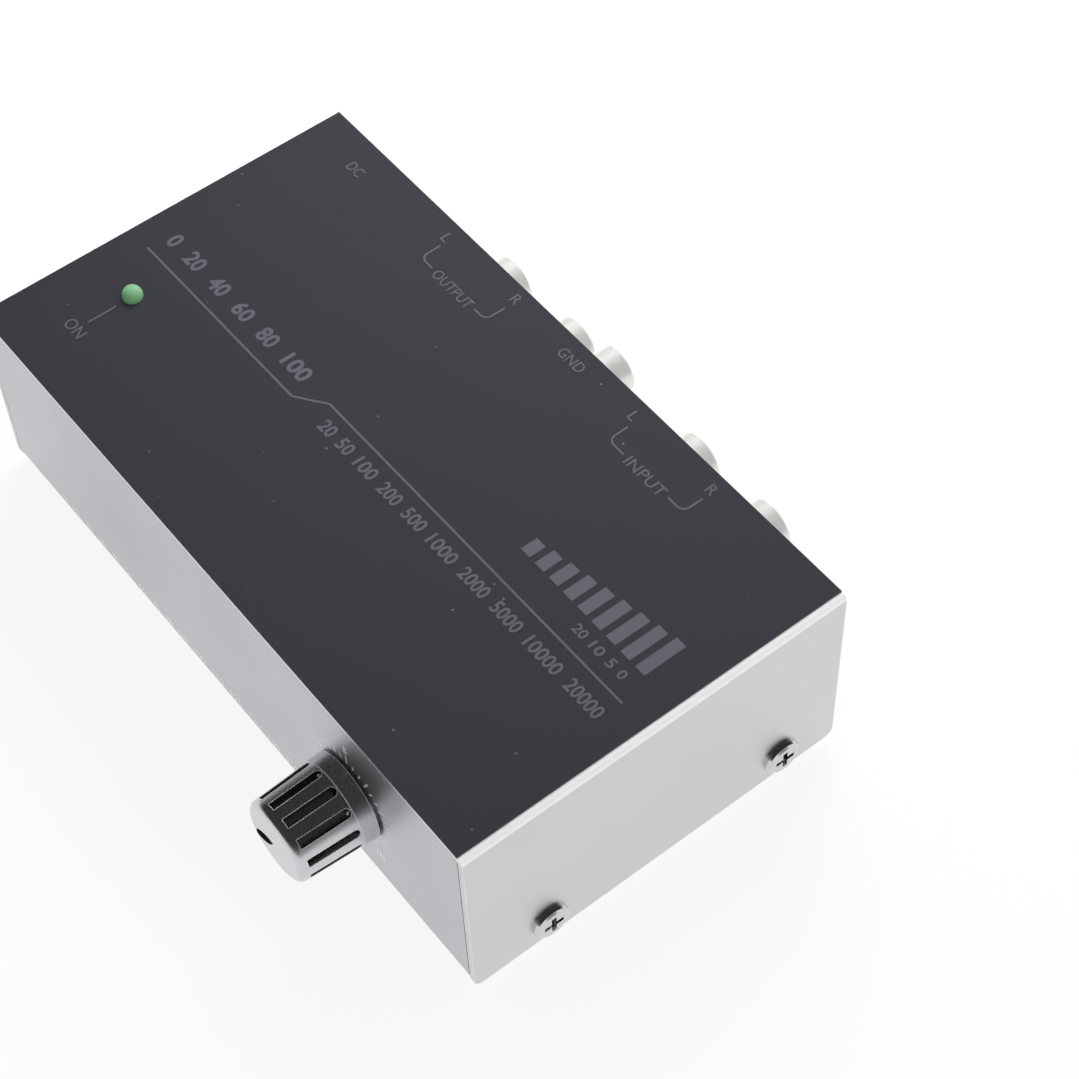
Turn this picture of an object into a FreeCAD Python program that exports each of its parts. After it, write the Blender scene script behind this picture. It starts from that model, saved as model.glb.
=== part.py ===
import FreeCAD, Part
import os
import re
import Sketcher
from math import pi

# Phono preamp: a small folded metal case with a volume knob in front, a lamp in the top,
# and two pairs of phono jacks, a ground post and a supply jack at the rear.
# Millimetres. X runs to the right as seen from the front, Y runs to the rear and Z runs up.
# The origin is on the table, under the middle of the whole preamp.

# Driving sizes

sizes = {
    # folded case
    "case_width": 110.0,
    "case_depth": 60.0,
    "case_height": 32.0,
    "sheet": 0.9,
    "bend_inside": 0.15,
    "pan_bend_inside": 0.6,
    "side_corner": 1.5,
    "side_gap": 0.15,
    "seam_gap": 0.1,
    "cover_drop": 0.6,
    "film": 0.2,
    "ear_height": 8.5,
    "ear_setback": 2.0,
    # rubber feet
    "foot_height": 2.0,
    "foot_radius": 4.0,
    "foot_inset": 11.0,
    "foot_edge": 0.5,
    # screws of the case and the board
    "screw_radius": 1.45,
    "screw_hole": 1.6,
    "thread_gap": 0.05,
    "thread_start": 0.2,
    "head_radius": 2.75,
    "head_rim": 0.5,
    "head_height": 1.1,
    "head_shoulder": 2.6,
    "head_shoulder_rise": 0.85,
    "head_crown": 2.25,
    "recess_span": 3.0,
    "recess_slot": 0.75,
    "recess_depth": 0.85,
    "case_screw_length": 5.0,
    "case_screw_front": 12.0,
    "case_screw_rear": 9.5,
    "case_screw_height": 5.6,
    "board_screw_length": 5.0,
    # circuit board
    "board_thickness": 1.6,
    "board_side_gap": 2.05,
    "board_end_gap": 1.0,
    "board_hole_inset": 4.0,
    "board_screw_gap": 0.25,
    "board_jack_gap": 0.85,
    "standoff_height": 5.0,
    "standoff_radius": 2.6,
    # phono jacks
    "axis_above_board": 7.9,
    "jack_pitch": 14.6,
    "output_from_left": 38.5,
    "input_from_left": 79.9,
    "barrel_radius": 4.15,
    "barrel_wall": 0.7,
    "barrel_reach": 8.25,
    "barrel_edge": 0.4,
    "collar_radius": 4.8,
    "collar_width": 1.0,
    "jack_root": 8.0,
    "insulator_recess": 0.4,
    "contact_bore": 1.6,
    "contact_wall": 0.35,
    "contact_inset": 1.0,
    "block_depth": 10.0,
    "block_side": 6.0,
    "block_above_axis": 5.6,
    "jack_hole_gap": 0.2,
    "fit_gap": 0.05,
    # supply jack
    "dc_from_left": 11.8,
    "dc_above_board": 6.0,
    "dc_width": 9.0,
    "dc_length": 13.0,
    "dc_height": 11.0,
    "dc_boss": 4.0,
    "dc_bore": 3.1,
    "dc_bore_depth": 10.0,
    "dc_pin": 1.05,
    "dc_pin_inset": 1.0,
    "dc_spring_sheet": 0.3,
    "dc_spring_width": 2.4,
    # ground post
    "post_from_left": 58.7,
    "post_below_top": 7.2,
    "post_radius": 1.95,
    "post_tail": 4.6,
    "post_proud": 0.3,
    "thumb_nut_radius": 3.45,
    "thumb_nut_length": 4.65,
    "thumb_nut_edge": 0.4,
    "post_gap": 0.06,
    "washer_radius": 3.3,
    "washer_sheet": 0.6,
    "inner_nut_flats": 7.0,
    "inner_nut_length": 2.6,
    "lug_sheet": 0.5,
    "lug_radius": 3.6,
    "lug_tail": 7.0,
    "lug_tail_width": 2.4,
    "wire_radius": 0.6,
    "wire_bend": 2.5,
    "wire_run": 4.0,
    # volume control
    "knob_from_left": 85.6,
    "pot_width": 12.0,
    "pot_depth": 8.0,
    "pot_above_axis": 6.0,
    "pot_wall": 1.0,
    "track_radius": 4.6,
    "track_sheet": 0.8,
    "wiper_radius": 4.2,
    "wiper_sheet": 0.8,
    "wiper_width": 2.4,
    "wiper_tail": 2.5,
    "bushing_radius": 3.5,
    "bushing_reach": 5.0,
    "shaft_radius": 3.0,
    "running_gap": 0.05,
    "shaft_reach": 9.6,
    "pot_nut_flats": 9.0,
    "pot_nut_length": 2.0,
    "pot_washer_radius": 5.2,
    "pot_washer_sheet": 0.5,
    "terminal_width": 0.9,
    "terminal_sheet": 0.5,
    "terminal_pitch": 3.5,
    "terminal_reach": 1.6,
    "terminal_height": 3.5,
    # volume knob
    "knob_gap": 0.4,
    "knob_length": 11.45,
    "knob_base": 6.53,
    "knob_face": 5.9,
    "knob_edge": 1.0,
    "skirt_length": 2.3,
    "skirt_step": 0.1,
    "knob_nut_room": 5.6,
    "knob_nut_depth": 2.9,
    "knob_bush_gap": 0.4,
    "knob_bore_gap": 0.02,
    "knob_end_gap": 0.2,
    "flute_count": 12,
    "flute_width": 1.35,
    "flute_floor": 5.2,
    "flute_start": 2.5,
    "flute_end": 10.1,
    "pointer_width": 1.9,
    "pointer_start": 0.3,
    "pointer_end": 5.6,
    "pointer_depth": 0.45,
    "pointer_turn": 120.0,
    # lamp
    "led_from_left": 11.6,
    "led_from_front": 17.9,
    "led_radius": 1.5,
    "led_flange": 1.9,
    "led_flange_length": 1.0,
    "led_length": 5.3,
    "led_dome": 1.47,
    "led_proud": 1.6,
    "led_hole_gap": 0.1,
    "led_lead": 0.5,
    "led_lead_pitch": 2.54,
    "led_spacer_radius": 2.4,
    "led_spacer_bore": 0.45,
    # parts on the board
    "chip_length": 9.3,
    "chip_width": 6.4,
    "chip_height": 3.3,
    "chip_stand": 0.6,
    "chip_leg_pitch": 2.54,
    "chip_leg_width": 0.9,
    "chip_leg_sheet": 0.4,
    "supply_cap_radius": 5.0,
    "supply_cap_height": 12.0,
    "supply_cap_edge": 0.75,
    "supply_cap_side": 8.0,
    "supply_cap_pitch": 12.0,
    "coupling_cap_radius": 2.5,
    "coupling_cap_height": 7.0,
    "coupling_cap_edge": 0.38,
    "coupling_cap_pitch": 8.0,
    "film_cap_length": 7.2,
    "film_cap_width": 2.5,
    "film_cap_height": 6.5,
    "film_cap_edge": 0.5,
    "film_cap_pitch": 8.5,
    "resistor_radius": 1.2,
    "resistor_length": 6.3,
    "resistor_span": 10.2,
    "resistor_pitch": 8.0,
    "axial_lead": 0.3,
    "axial_stand": 0.5,
    "diode_radius": 1.35,
    "diode_length": 5.2,
    "diode_span": 10.2,
    "regulator_width": 10.0,
    "regulator_sheet": 1.3,
    "regulator_body": 4.4,
    "regulator_height": 9.0,
    "regulator_tab": 6.0,
    "regulator_stand": 2.5,
    "regulator_leg": 0.8,
    "regulator_leg_pitch": 2.54,
    "regulator_tab_hole": 1.8,
    # places of the parts on the board: across from the middle, and back from the front panel
    "front_row": 14.0,
    "middle_row": 27.0,
    "rear_row": 38.0,
    "supply_cap_row": 28.5,
    "input_chip_x": 20.0,
    "output_chip_x": -12.0,
    "coupling_cap_x": -16.0,
    "film_cap_x": 17.0,
    "resistor_x": -20.0,
    "diode_x": -30.0,
    "regulator_x": -30.0,
}

# Levels and places that follow from the driving sizes

places = {
    "front_y": "(knob_gap + knob_length - case_depth - barrel_reach) / 2",
    "rear_y": "front_y + case_depth",
    "left_x": "-case_width / 2",
    "cover_foot_z": "foot_height - cover_drop",
    "case_top_z": "cover_foot_z + case_height",
    "cover_top_z": "case_top_z - film",
    "bend_outside": "bend_inside + sheet",
    "panel_top_z": "cover_top_z - sheet - seam_gap",
    "pan_floor_z": "foot_height + sheet",
    "pan_half_width": "case_width / 2 - sheet - side_gap",
    "board_z": "pan_floor_z + standoff_height",
    "board_top_z": "board_z + board_thickness",
    "board_front": "sheet + board_end_gap",
    "board_length": "case_depth - 2 * board_front",
    "board_width": "2 * (pan_half_width - sheet - board_side_gap)",
    "board_hole_span": "board_width - 2 * board_hole_inset",
    "board_hole_front": "sheet + pot_depth + terminal_reach + head_radius + board_screw_gap",
    "board_hole_rear": "sheet + dc_length + head_radius + board_jack_gap",
    "board_hole_pitch": "case_depth - board_hole_front - board_hole_rear",
    "case_screw_pitch": "case_depth - case_screw_front - case_screw_rear",
    "axis_z": "board_top_z + axis_above_board",
    "knob_x": "left_x + knob_from_left",
    "output_x": "left_x + output_from_left",
    "input_x": "left_x + input_from_left",
    "dc_x": "left_x + dc_from_left",
    "dc_z": "board_top_z + dc_above_board",
    "post_x": "left_x + post_from_left",
    "post_height": "case_top_z - post_below_top",
    "led_x": "left_x + led_from_left",
    "led_y": "front_y + led_from_front",
    "led_base_z": "case_top_z + led_proud - led_length",
    "panel_hole": "barrel_radius + jack_hole_gap",
    "supply_cap_x": "supply_cap_side - board_width / 2",
    "pointer_span": "pointer_end - pointer_start",
    "pointer_arc": "(pointer_span ^ 2 + pointer_width ^ 2) / (4 * pointer_width)",
    "knob_bush_room": "bushing_radius + knob_bush_gap",
    "barrel_bore": "barrel_radius - barrel_wall",
    "contact_radius": "contact_bore + contact_wall",
}

doc = FreeCAD.newDocument("phono_preamp")
sheet = doc.addObject("Spreadsheet::Sheet", "Sizes")
for row, (alias, amount) in enumerate(sizes.items(), start=1):
    sheet.set(f"A{row}", alias)
    sheet.set(f"B{row}", str(amount))
    sheet.setAlias(f"B{row}", alias)
doc.recompute()

UPRIGHT = FreeCAD.Rotation()
TO_REAR = FreeCAD.Rotation(FreeCAD.Vector(1, 0, 0), -90)
TO_FRONT = FreeCAD.Rotation(FreeCAD.Vector(1, 0, 0), 90)
TO_RIGHT = FreeCAD.Rotation(FreeCAD.Vector(0, 1, 0), 90)


def formula(rule):
    """Write a rule in plain names as an expression on the sheet's cells."""
    def swap(match):
        word = match.group(0)
        if word in places:
            return "(" + formula(places[word]) + ")"
        if word in sizes:
            return "Sizes." + word
        return word
    return re.sub(r"[a-z_]+", swap, str(rule))


def number(rule):
    """Work out a rule written in plain names."""
    return float(sheet.evalExpression(formula(rule)))


# Helpers for bodies, sketches and features

nodes = []


def new_body(label):
    body = doc.addObject("PartDesign::Body", label)
    body.Label = label
    body.AllowCompound = True
    nodes.append(body)
    return body


def origin_part(body, role):
    return next(item for item in body.Origin.OriginFeatures if item.Role == role)


def draw(body, role, offset="0"):
    """A sketch on one of the body's own planes, moved along the plane's normal."""
    sketch = body.newObject("Sketcher::SketchObject", body.Label + "_sketch")
    sketch.AttachmentSupport = [(origin_part(body, role), "")]
    sketch.MapMode = "FlatFace"
    if offset != "0":
        sketch.setExpression("AttachmentOffset.Base.z", formula(offset))
    return sketch


def hold(sketch, kind, *reference, rule):
    """Bind one dimension of a sketch to a rule."""
    index = sketch.addConstraint(Sketcher.Constraint(kind, *reference, number(rule)))
    sketch.setExpression(f"Constraints[{index}]", formula(rule))


def hold_point(sketch, line, end, across, up):
    """Hold one point by its distances from the sketch's two axes."""
    if str(across) == "0":
        sketch.addConstraint(Sketcher.Constraint("PointOnObject", line, end, -2))
    else:
        hold(sketch, "DistanceX", -1, 1, line, end, rule=across)
    if str(up) == "0":
        sketch.addConstraint(Sketcher.Constraint("PointOnObject", line, end, -1))
    else:
        hold(sketch, "DistanceY", -1, 1, line, end, rule=up)


def outline(sketch, corners):
    """A closed outline of straight edges, with each corner held in both directions."""
    first = sketch.GeometryCount
    points = [FreeCAD.Vector(number(across), number(up), 0) for across, up in corners]
    for here, there in zip(points, points[1:] + points[:1]):
        sketch.addGeometry(Part.LineSegment(here, there), False)
    count = len(corners)
    for step in range(count):
        following = first + (step + 1) % count
        sketch.addConstraint(Sketcher.Constraint("Coincident", first + step, 2, following, 1))
    for step, (across, up) in enumerate(corners):
        hold_point(sketch, first + step, 1, across, up)


def rectangle(sketch, left, right, low, high):
    outline(sketch, [(left, low), (right, low), (right, high), (left, high)])


def circle(sketch, across, up, radius):
    centre = FreeCAD.Vector(number(across), number(up), 0)
    ring = sketch.addGeometry(Part.Circle(centre, FreeCAD.Vector(0, 0, 1), number(radius)), False)
    hold_point(sketch, ring, 3, across, up)
    hold(sketch, "Radius", ring, rule=radius)


def add(body, kind, sketch, length, backwards=False, both_ways=False):
    """Pad or pocket a sketch by a length, or all the way through."""
    feature = body.newObject("PartDesign::" + kind, f"{body.Label}_{kind.lower()}")
    feature.Profile = sketch
    feature.Reversed = backwards
    feature.Refine = True
    if both_ways:
        feature.SideType = "Symmetric"
    if length == "through":
        feature.Type = "ThroughAll"
    else:
        feature.setExpression("Length", formula(length))
    body.Tip = feature
    before = body.Shape.Volume if body.Shape and not body.Shape.isNull() else 0.0
    doc.recompute()
    after = body.Shape.Volume
    if kind == "Pocket" and not after < before - 1e-6:
        raise ValueError(f"{feature.Name} cuts nothing")
    return feature


def turned(label, profile):
    """A body of revolution about its own Z axis, from corners given as radius and height."""
    body = new_body(label)
    sketch = draw(body, "XZ_Plane")
    outline(sketch, profile)
    turn = body.newObject("PartDesign::Revolution", label + "_turn")
    turn.Profile = sketch
    turn.ReferenceAxis = (sketch, ["V_Axis"])
    turn.Angle = 360
    body.Tip = turn
    doc.recompute()
    return body


def block(label, left, right, front, rear, low, high):
    """A body that starts as a plain block."""
    body = new_body(label)
    sketch = draw(body, "XY_Plane", low)
    rectangle(sketch, left, right, front, rear)
    add(body, "Pad", sketch, f"({high}) - ({low})")
    return body


def edges(body, test):
    """The names of the edges of a body that pass a test."""
    found = enumerate(body.Tip.Shape.Edges, start=1)
    return [f"Edge{place}" for place, edge in found if test(edge)]


def soften(body, kind, size, test):
    """Round or bevel the edges that pass a test."""
    names = edges(body, test)
    if not names:
        raise ValueError(f"no edge to soften on {body.Label}")
    base = body.Tip
    feature = body.newObject("PartDesign::" + kind, f"{body.Label}_{kind.lower()}")
    feature.Base = (base, names)
    feature.setExpression("Radius" if kind == "Fillet" else "Size", formula(size))
    body.Tip = feature
    doc.recompute()
    return feature


def along(edge, axis):
    """Whether an edge is straight and runs along X, Y or Z (0, 1 or 2)."""
    if not isinstance(edge.Curve, Part.Line):
        return False
    return abs(abs(edge.Curve.Direction[axis]) - 1.0) < 1e-6


def near(amount, rule):
    return abs(amount - number(rule)) < 1e-3


def ring_at(edge, radius, height):
    """Whether an edge is a circle of a given radius at a given height."""
    if not isinstance(edge.Curve, Part.Circle):
        return False
    return near(edge.Curve.Radius, radius) and near(edge.Curve.Center.z, height)


def repeat(body, rows=(), mirrors=()):
    """Repeat a whole body in rows (axis, pitch, count) and across its own planes."""
    steps = []
    for axis, pitch, count in rows:
        row = doc.addObject("PartDesign::LinearPattern", body.Label + "_row")
        body.addObject(row)
        row.Direction = (origin_part(body, axis), [""])
        row.Mode = "Spacing"
        row.Occurrences = count
        row.setExpression("Offset", formula(pitch))
        steps.append(row)
    for plane in mirrors:
        mirror = doc.addObject("PartDesign::Mirrored", body.Label + "_mirror")
        body.addObject(mirror)
        mirror.MirrorPlane = (origin_part(body, plane), [""])
        steps.append(mirror)
    pattern = body.newObject("PartDesign::MultiTransform", body.Label + "_copies")
    pattern.TransformMode = "Whole shape"
    pattern.Transformations = steps
    body.Tip = pattern
    doc.recompute()


def place(body, across, back, up, turn=UPRIGHT):
    body.Placement = FreeCAD.Placement(FreeCAD.Vector(0, 0, 0), turn)
    body.setExpression("Placement.Base.x", formula(across))
    body.setExpression("Placement.Base.y", formula(back))
    body.setExpression("Placement.Base.z", formula(up))


# Folded cover: top and both sides in one sheet

cover = new_body("top_cover")
profile = draw(cover, "XZ_Plane")
outline(profile, [
    ("-case_width / 2", "cover_foot_z"),
    ("-case_width / 2", "cover_top_z"),
    ("case_width / 2", "cover_top_z"),
    ("case_width / 2", "cover_foot_z"),
    ("case_width / 2 - sheet", "cover_foot_z"),
    ("case_width / 2 - sheet", "cover_top_z - sheet"),
    ("sheet - case_width / 2", "cover_top_z - sheet"),
    ("sheet - case_width / 2", "cover_foot_z"),
])
add(cover, "Pad", profile, "case_depth", backwards=True)
soften(cover, "Fillet", "bend_inside", lambda edge: along(edge, 1)
       and near(abs(edge.CenterOfMass.x), "case_width / 2 - sheet")
       and near(edge.CenterOfMass.z, "cover_top_z - sheet"))
soften(cover, "Fillet", "bend_outside", lambda edge: along(edge, 1)
       and near(abs(edge.CenterOfMass.x), "case_width / 2")
       and near(edge.CenterOfMass.z, "cover_top_z"))
soften(cover, "Fillet", "side_corner", lambda edge: along(edge, 0)
       and near(edge.CenterOfMass.z, "cover_foot_z"))
holes = draw(cover, "YZ_Plane")
circle(holes, "case_screw_front", "case_screw_height", "screw_hole")
circle(holes, "case_screw_front + case_screw_pitch", "case_screw_height", "screw_hole")
add(cover, "Pocket", holes, "through", both_ways=True)
lamp_hole = draw(cover, "XY_Plane")
circle(lamp_hole, "led_x", "led_from_front", "led_radius + led_hole_gap")
add(cover, "Pocket", lamp_hole, "through", both_ways=True)
place(cover, "0", "front_y", "0")

# Dark printed film on the flat of the top, ending where the bends start

film = block("top_overlay", "bend_outside - case_width / 2", "case_width / 2 - bend_outside",
             "0", "case_depth", "cover_top_z", "case_top_z")
lamp_hole = draw(film, "XY_Plane")
circle(lamp_hole, "led_x", "led_from_front", "led_radius + led_hole_gap")
add(film, "Pocket", lamp_hole, "through", both_ways=True)
place(film, "0", "front_y", "0")

# Folded pan: bottom, front panel and rear panel in one sheet, with an ear along each side

pan = new_body("bottom_pan")
profile = draw(pan, "YZ_Plane")
outline(profile, [
    ("0", "foot_height"),
    ("0", "panel_top_z"),
    ("sheet", "panel_top_z"),
    ("sheet", "pan_floor_z"),
    ("case_depth - sheet", "pan_floor_z"),
    ("case_depth - sheet", "panel_top_z"),
    ("case_depth", "panel_top_z"),
    ("case_depth", "foot_height"),
])
add(pan, "Pad", profile, "2 * pan_half_width", both_ways=True)
soften(pan, "Fillet", "pan_bend_inside + sheet", lambda edge: along(edge, 0)
       and near(edge.CenterOfMass.z, "foot_height"))
soften(pan, "Fillet", "pan_bend_inside", lambda edge: along(edge, 0)
       and near(edge.CenterOfMass.z, "pan_floor_z"))
ears = draw(pan, "XZ_Plane", "-(sheet + ear_setback)")
rectangle(ears, "-pan_half_width", "sheet - pan_half_width", "foot_height", "foot_height + ear_height")
rectangle(ears, "pan_half_width - sheet", "pan_half_width", "foot_height", "foot_height + ear_height")
add(pan, "Pad", ears, "case_depth - 2 * (sheet + ear_setback)", backwards=True)
holes = draw(pan, "YZ_Plane")
circle(holes, "case_screw_front", "case_screw_height", "screw_radius + thread_gap")
circle(holes, "case_screw_front + case_screw_pitch", "case_screw_height", "screw_radius + thread_gap")
add(pan, "Pocket", holes, "through", both_ways=True)
front_hole = draw(pan, "XZ_Plane")
circle(front_hole, "knob_x", "axis_z", "bushing_radius + fit_gap")
add(pan, "Pocket", front_hole, "2 * sheet")
rear_holes = draw(pan, "XZ_Plane", "-case_depth")
for jack in ("output_x", "input_x"):
    for side in ("-", "+"):
        circle(rear_holes, f"{jack} {side} jack_pitch / 2", "axis_z", "panel_hole")
circle(rear_holes, "dc_x", "dc_z", "dc_boss + jack_hole_gap")
circle(rear_holes, "post_x", "post_height", "post_radius + fit_gap")
add(pan, "Pocket", rear_holes, "2 * sheet", backwards=True)
place(pan, "0", "front_y", "0")


# Pan-head screws with a cross recess

def screw(label, head_z, length):
    """A pan-head screw along Z, with the underside of its head at head_z."""
    body = turned(label, [
        ("0", f"{head_z} - ({length})"),
        ("screw_radius - thread_start", f"{head_z} - ({length})"),
        ("screw_radius", f"{head_z} - ({length}) + thread_start"),
        ("screw_radius", head_z),
        ("head_radius", head_z),
        ("head_radius", f"{head_z} + head_rim"),
        ("head_shoulder", f"{head_z} + head_shoulder_rise"),
        ("head_crown", f"{head_z} + head_height"),
        ("0", f"{head_z} + head_height"),
    ])
    cross = draw(body, "XY_Plane", f"{head_z} + head_height")
    wide, slim = "recess_span / 2", "recess_slot / 2"
    outline(cross, [
        (f"-{wide}", f"-{slim}"), (f"-{slim}", f"-{slim}"), (f"-{slim}", f"-{wide}"),
        (slim, f"-{wide}"), (slim, f"-{slim}"), (wide, f"-{slim}"),
        (wide, slim), (slim, slim), (slim, wide),
        (f"-{slim}", wide), (f"-{slim}", slim), (f"-{wide}", slim),
    ])
    add(body, "Pocket", cross, "recess_depth")
    return body


case_screws = screw("cover_screws", "case_width / 2", "case_screw_length")
repeat(case_screws, rows=[("Y_Axis", "case_screw_pitch", 2)], mirrors=["XY_Plane"])
place(case_screws, "0", "front_y + case_screw_front", "case_screw_height", TO_RIGHT)

board_screws = screw("board_screws", "0", "board_screw_length")
repeat(board_screws, rows=[("X_Axis", "board_hole_span", 2), ("Y_Axis", "board_hole_pitch", 2)])
place(board_screws, "-board_hole_span / 2", "front_y + board_hole_front", "board_top_z")

# Rubber feet

foot_places = {
    "foot_front_left": ("foot_inset - case_width / 2", "front_y + foot_inset"),
    "foot_front_right": ("case_width / 2 - foot_inset", "front_y + foot_inset"),
    "foot_rear_left": ("foot_inset - case_width / 2", "rear_y - foot_inset"),
    "foot_rear_right": ("case_width / 2 - foot_inset", "rear_y - foot_inset"),
}
for label, (across, back) in foot_places.items():
    foot = turned(label, [("0", "0"), ("foot_radius - foot_edge", "0"), ("foot_radius", "foot_height"),
                          ("0", "foot_height")])
    soften(foot, "Fillet", "foot_edge", lambda edge: ring_at(edge, "foot_radius - foot_edge", "0"))
    place(foot, across, back, "0")

# Circuit board on four round standoffs

board = block("circuit_board", "-board_width / 2", "board_width / 2", "board_front",
              "board_front + board_length", "board_z", "board_top_z")
holes = draw(board, "XY_Plane")
for side in ("-", "+"):
    for step in ("0", "board_hole_pitch"):
        circle(holes, f"{side}1 * board_hole_span / 2", f"board_hole_front + {step}", "screw_hole")
add(board, "Pocket", holes, "through", both_ways=True)
place(board, "0", "front_y", "0")

standoffs = turned("board_standoffs", [
    ("screw_radius + thread_gap", "0"),
    ("standoff_radius", "0"),
    ("standoff_radius", "standoff_height"),
    ("screw_radius + thread_gap", "standoff_height"),
])
repeat(standoffs, rows=[("X_Axis", "board_hole_span", 2), ("Y_Axis", "board_hole_pitch", 2)])
place(standoffs, "-board_hole_span / 2", "front_y + board_hole_front", "pan_floor_z")

# Phono jacks: a moulded block behind the rear panel, two barrels, insulators and contacts

for pair, pair_x in (("output", "output_x"), ("input", "input_x")):
    half = "(jack_pitch / 2 + block_side)"
    moulding = block(f"{pair}_jack_block", f"-{half}", half, "-sheet - block_depth", "-sheet",
                     "-axis_above_board", "block_above_axis")
    bores = draw(moulding, "XZ_Plane", "sheet")
    for side in ("-", "+"):
        circle(bores, f"{side}1 * jack_pitch / 2", "0", "barrel_radius + fit_gap")
    add(moulding, "Pocket", bores, "jack_root - sheet", backwards=True)
    place(moulding, pair_x, "rear_y", "axis_z")
    for side, sign in (("left", "-"), ("right", "+")):
        spot = f"{pair_x} {sign} jack_pitch / 2"
        barrel = turned(f"{pair}_{side}_barrel", [
            ("barrel_bore", "-jack_root"),
            ("barrel_radius", "-jack_root"),
            ("barrel_radius", "0"),
            ("collar_radius", "0"),
            ("collar_radius", "collar_width"),
            ("barrel_radius", "collar_width"),
            ("barrel_radius", "barrel_reach"),
            ("barrel_bore", "barrel_reach"),
        ])
        soften(barrel, "Fillet", "barrel_edge", lambda edge: ring_at(edge, "barrel_radius", "barrel_reach"))
        place(barrel, spot, "rear_y", "axis_z", TO_REAR)
        insulator = turned(f"{pair}_{side}_insulator", [
            ("contact_radius + fit_gap", "-jack_root"),
            ("barrel_bore - fit_gap", "-jack_root"),
            ("barrel_bore - fit_gap", "barrel_reach - insulator_recess"),
            ("contact_radius + fit_gap", "barrel_reach - insulator_recess"),
        ])
        place(insulator, spot, "rear_y", "axis_z", TO_REAR)
        contact = turned(f"{pair}_{side}_contact", [
            ("contact_bore", "-jack_root"),
            ("contact_radius", "-jack_root"),
            ("contact_radius", "barrel_reach - contact_inset"),
            ("contact_bore", "barrel_reach - contact_inset"),
        ])
        place(contact, spot, "rear_y", "axis_z", TO_REAR)

# Supply jack: moulded housing with a round mouth, centre pin and side spring

housing = block("dc_jack_housing", "-dc_width / 2", "dc_width / 2", "-sheet - dc_length", "-sheet",
                "-dc_above_board", "dc_height - dc_above_board")
boss = draw(housing, "XZ_Plane", "sheet")
circle(boss, "0", "0", "dc_boss")
add(housing, "Pad", boss, "sheet", backwards=True)
mouth = draw(housing, "XZ_Plane")
circle(mouth, "0", "0", "dc_bore")
add(housing, "Pocket", mouth, "dc_bore_depth", backwards=True)
slot = draw(housing, "XZ_Plane", "sheet")
rectangle(slot, "-dc_spring_width / 2 - fit_gap", "dc_spring_width / 2 + fit_gap",
          "-dc_bore - dc_spring_sheet - 2 * fit_gap", "0")
add(housing, "Pocket", slot, "dc_bore_depth - sheet", backwards=True)
place(housing, "dc_x", "rear_y", "dc_z")

pin = turned("dc_jack_pin", [
    ("0", "-dc_bore_depth"),
    ("dc_pin", "-dc_bore_depth"),
    ("dc_pin", "-dc_pin_inset - dc_pin / 2"),
    ("dc_pin / 2", "-dc_pin_inset"),
    ("0", "-dc_pin_inset"),
])
place(pin, "dc_x", "rear_y", "dc_z", TO_REAR)

spring = block("dc_jack_spring", "-dc_spring_width / 2", "dc_spring_width / 2", "-dc_bore_depth",
               "-sheet - dc_pin_inset", "-dc_bore - dc_spring_sheet - fit_gap", "-dc_bore - fit_gap")
place(spring, "dc_x", "rear_y", "dc_z")


# Ground post: stud, inner nut, lug and wire inside, washer and thumb nut outside

def hexagon(sketch, flats):
    """A hexagon about the sketch's origin, with two flats across the up direction."""
    tall = f"({flats}) / 2"
    wide = f"({flats}) / sqrt(3)"
    outline(sketch, [
        (wide, "0"), (f"{wide} / 2", tall), (f"-{wide} / 2", tall),
        (f"-{wide}", "0"), (f"-{wide} / 2", f"-{tall}"), (f"{wide} / 2", f"-{tall}"),
    ])


def hex_nut(label, flats, bore, length):
    body = new_body(label)
    sketch = draw(body, "XY_Plane")
    hexagon(sketch, flats)
    circle(sketch, "0", "0", bore)
    add(body, "Pad", sketch, length)
    return body


post_end = "washer_sheet + thumb_nut_length + post_proud"
stud = turned("ground_stud", [
    ("0", "-sheet - post_tail"),
    ("post_radius", "-sheet - post_tail"),
    ("post_radius", f"{post_end} - post_proud"),
    ("post_radius - post_proud", post_end),
    ("0", post_end),
])
place(stud, "post_x", "rear_y", "post_height", TO_REAR)

inner_nut = hex_nut("ground_inner_nut", "inner_nut_flats", "post_radius + fit_gap", "inner_nut_length")
place(inner_nut, "post_x", "rear_y - sheet - lug_sheet - inner_nut_length", "post_height", TO_REAR)

lug = new_body("ground_lug")
ring = draw(lug, "XZ_Plane", "sheet")
circle(ring, "0", "0", "lug_radius")
add(lug, "Pad", ring, "lug_sheet")
tail = draw(lug, "XZ_Plane", "sheet")
rectangle(tail, "-lug_tail_width / 2", "lug_tail_width / 2", "-lug_tail", "0")
add(lug, "Pad", tail, "lug_sheet")
bore = draw(lug, "XZ_Plane")
circle(bore, "0", "0", "post_radius + fit_gap")
add(lug, "Pocket", bore, "through", both_ways=True)
place(lug, "post_x", "rear_y", "post_height")

wire_drop = "post_height - lug_tail + wire_radius * 2 - board_top_z"
wire = new_body("ground_wire")
route = draw(wire, "YZ_Plane")
bend_start = FreeCAD.Vector(-number("wire_run - wire_bend"), 0, 0)
bend_end = FreeCAD.Vector(-number("wire_run"), -number("wire_bend"), 0)
bend_centre = FreeCAD.Vector(bend_start.x, bend_end.y, 0)
bend_circle = Part.Circle(bend_centre, FreeCAD.Vector(0, 0, 1), number("wire_bend"))
route.addGeometry(Part.LineSegment(FreeCAD.Vector(0, 0, 0), bend_start), False)
route.addGeometry(Part.ArcOfCircle(bend_circle, pi / 2, pi), False)
route.addGeometry(Part.LineSegment(bend_end, FreeCAD.Vector(bend_end.x, -number(wire_drop), 0)), False)
route.addConstraint(Sketcher.Constraint("Coincident", 0, 1, -1, 1))
route.addConstraint(Sketcher.Constraint("Horizontal", 0))
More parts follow.
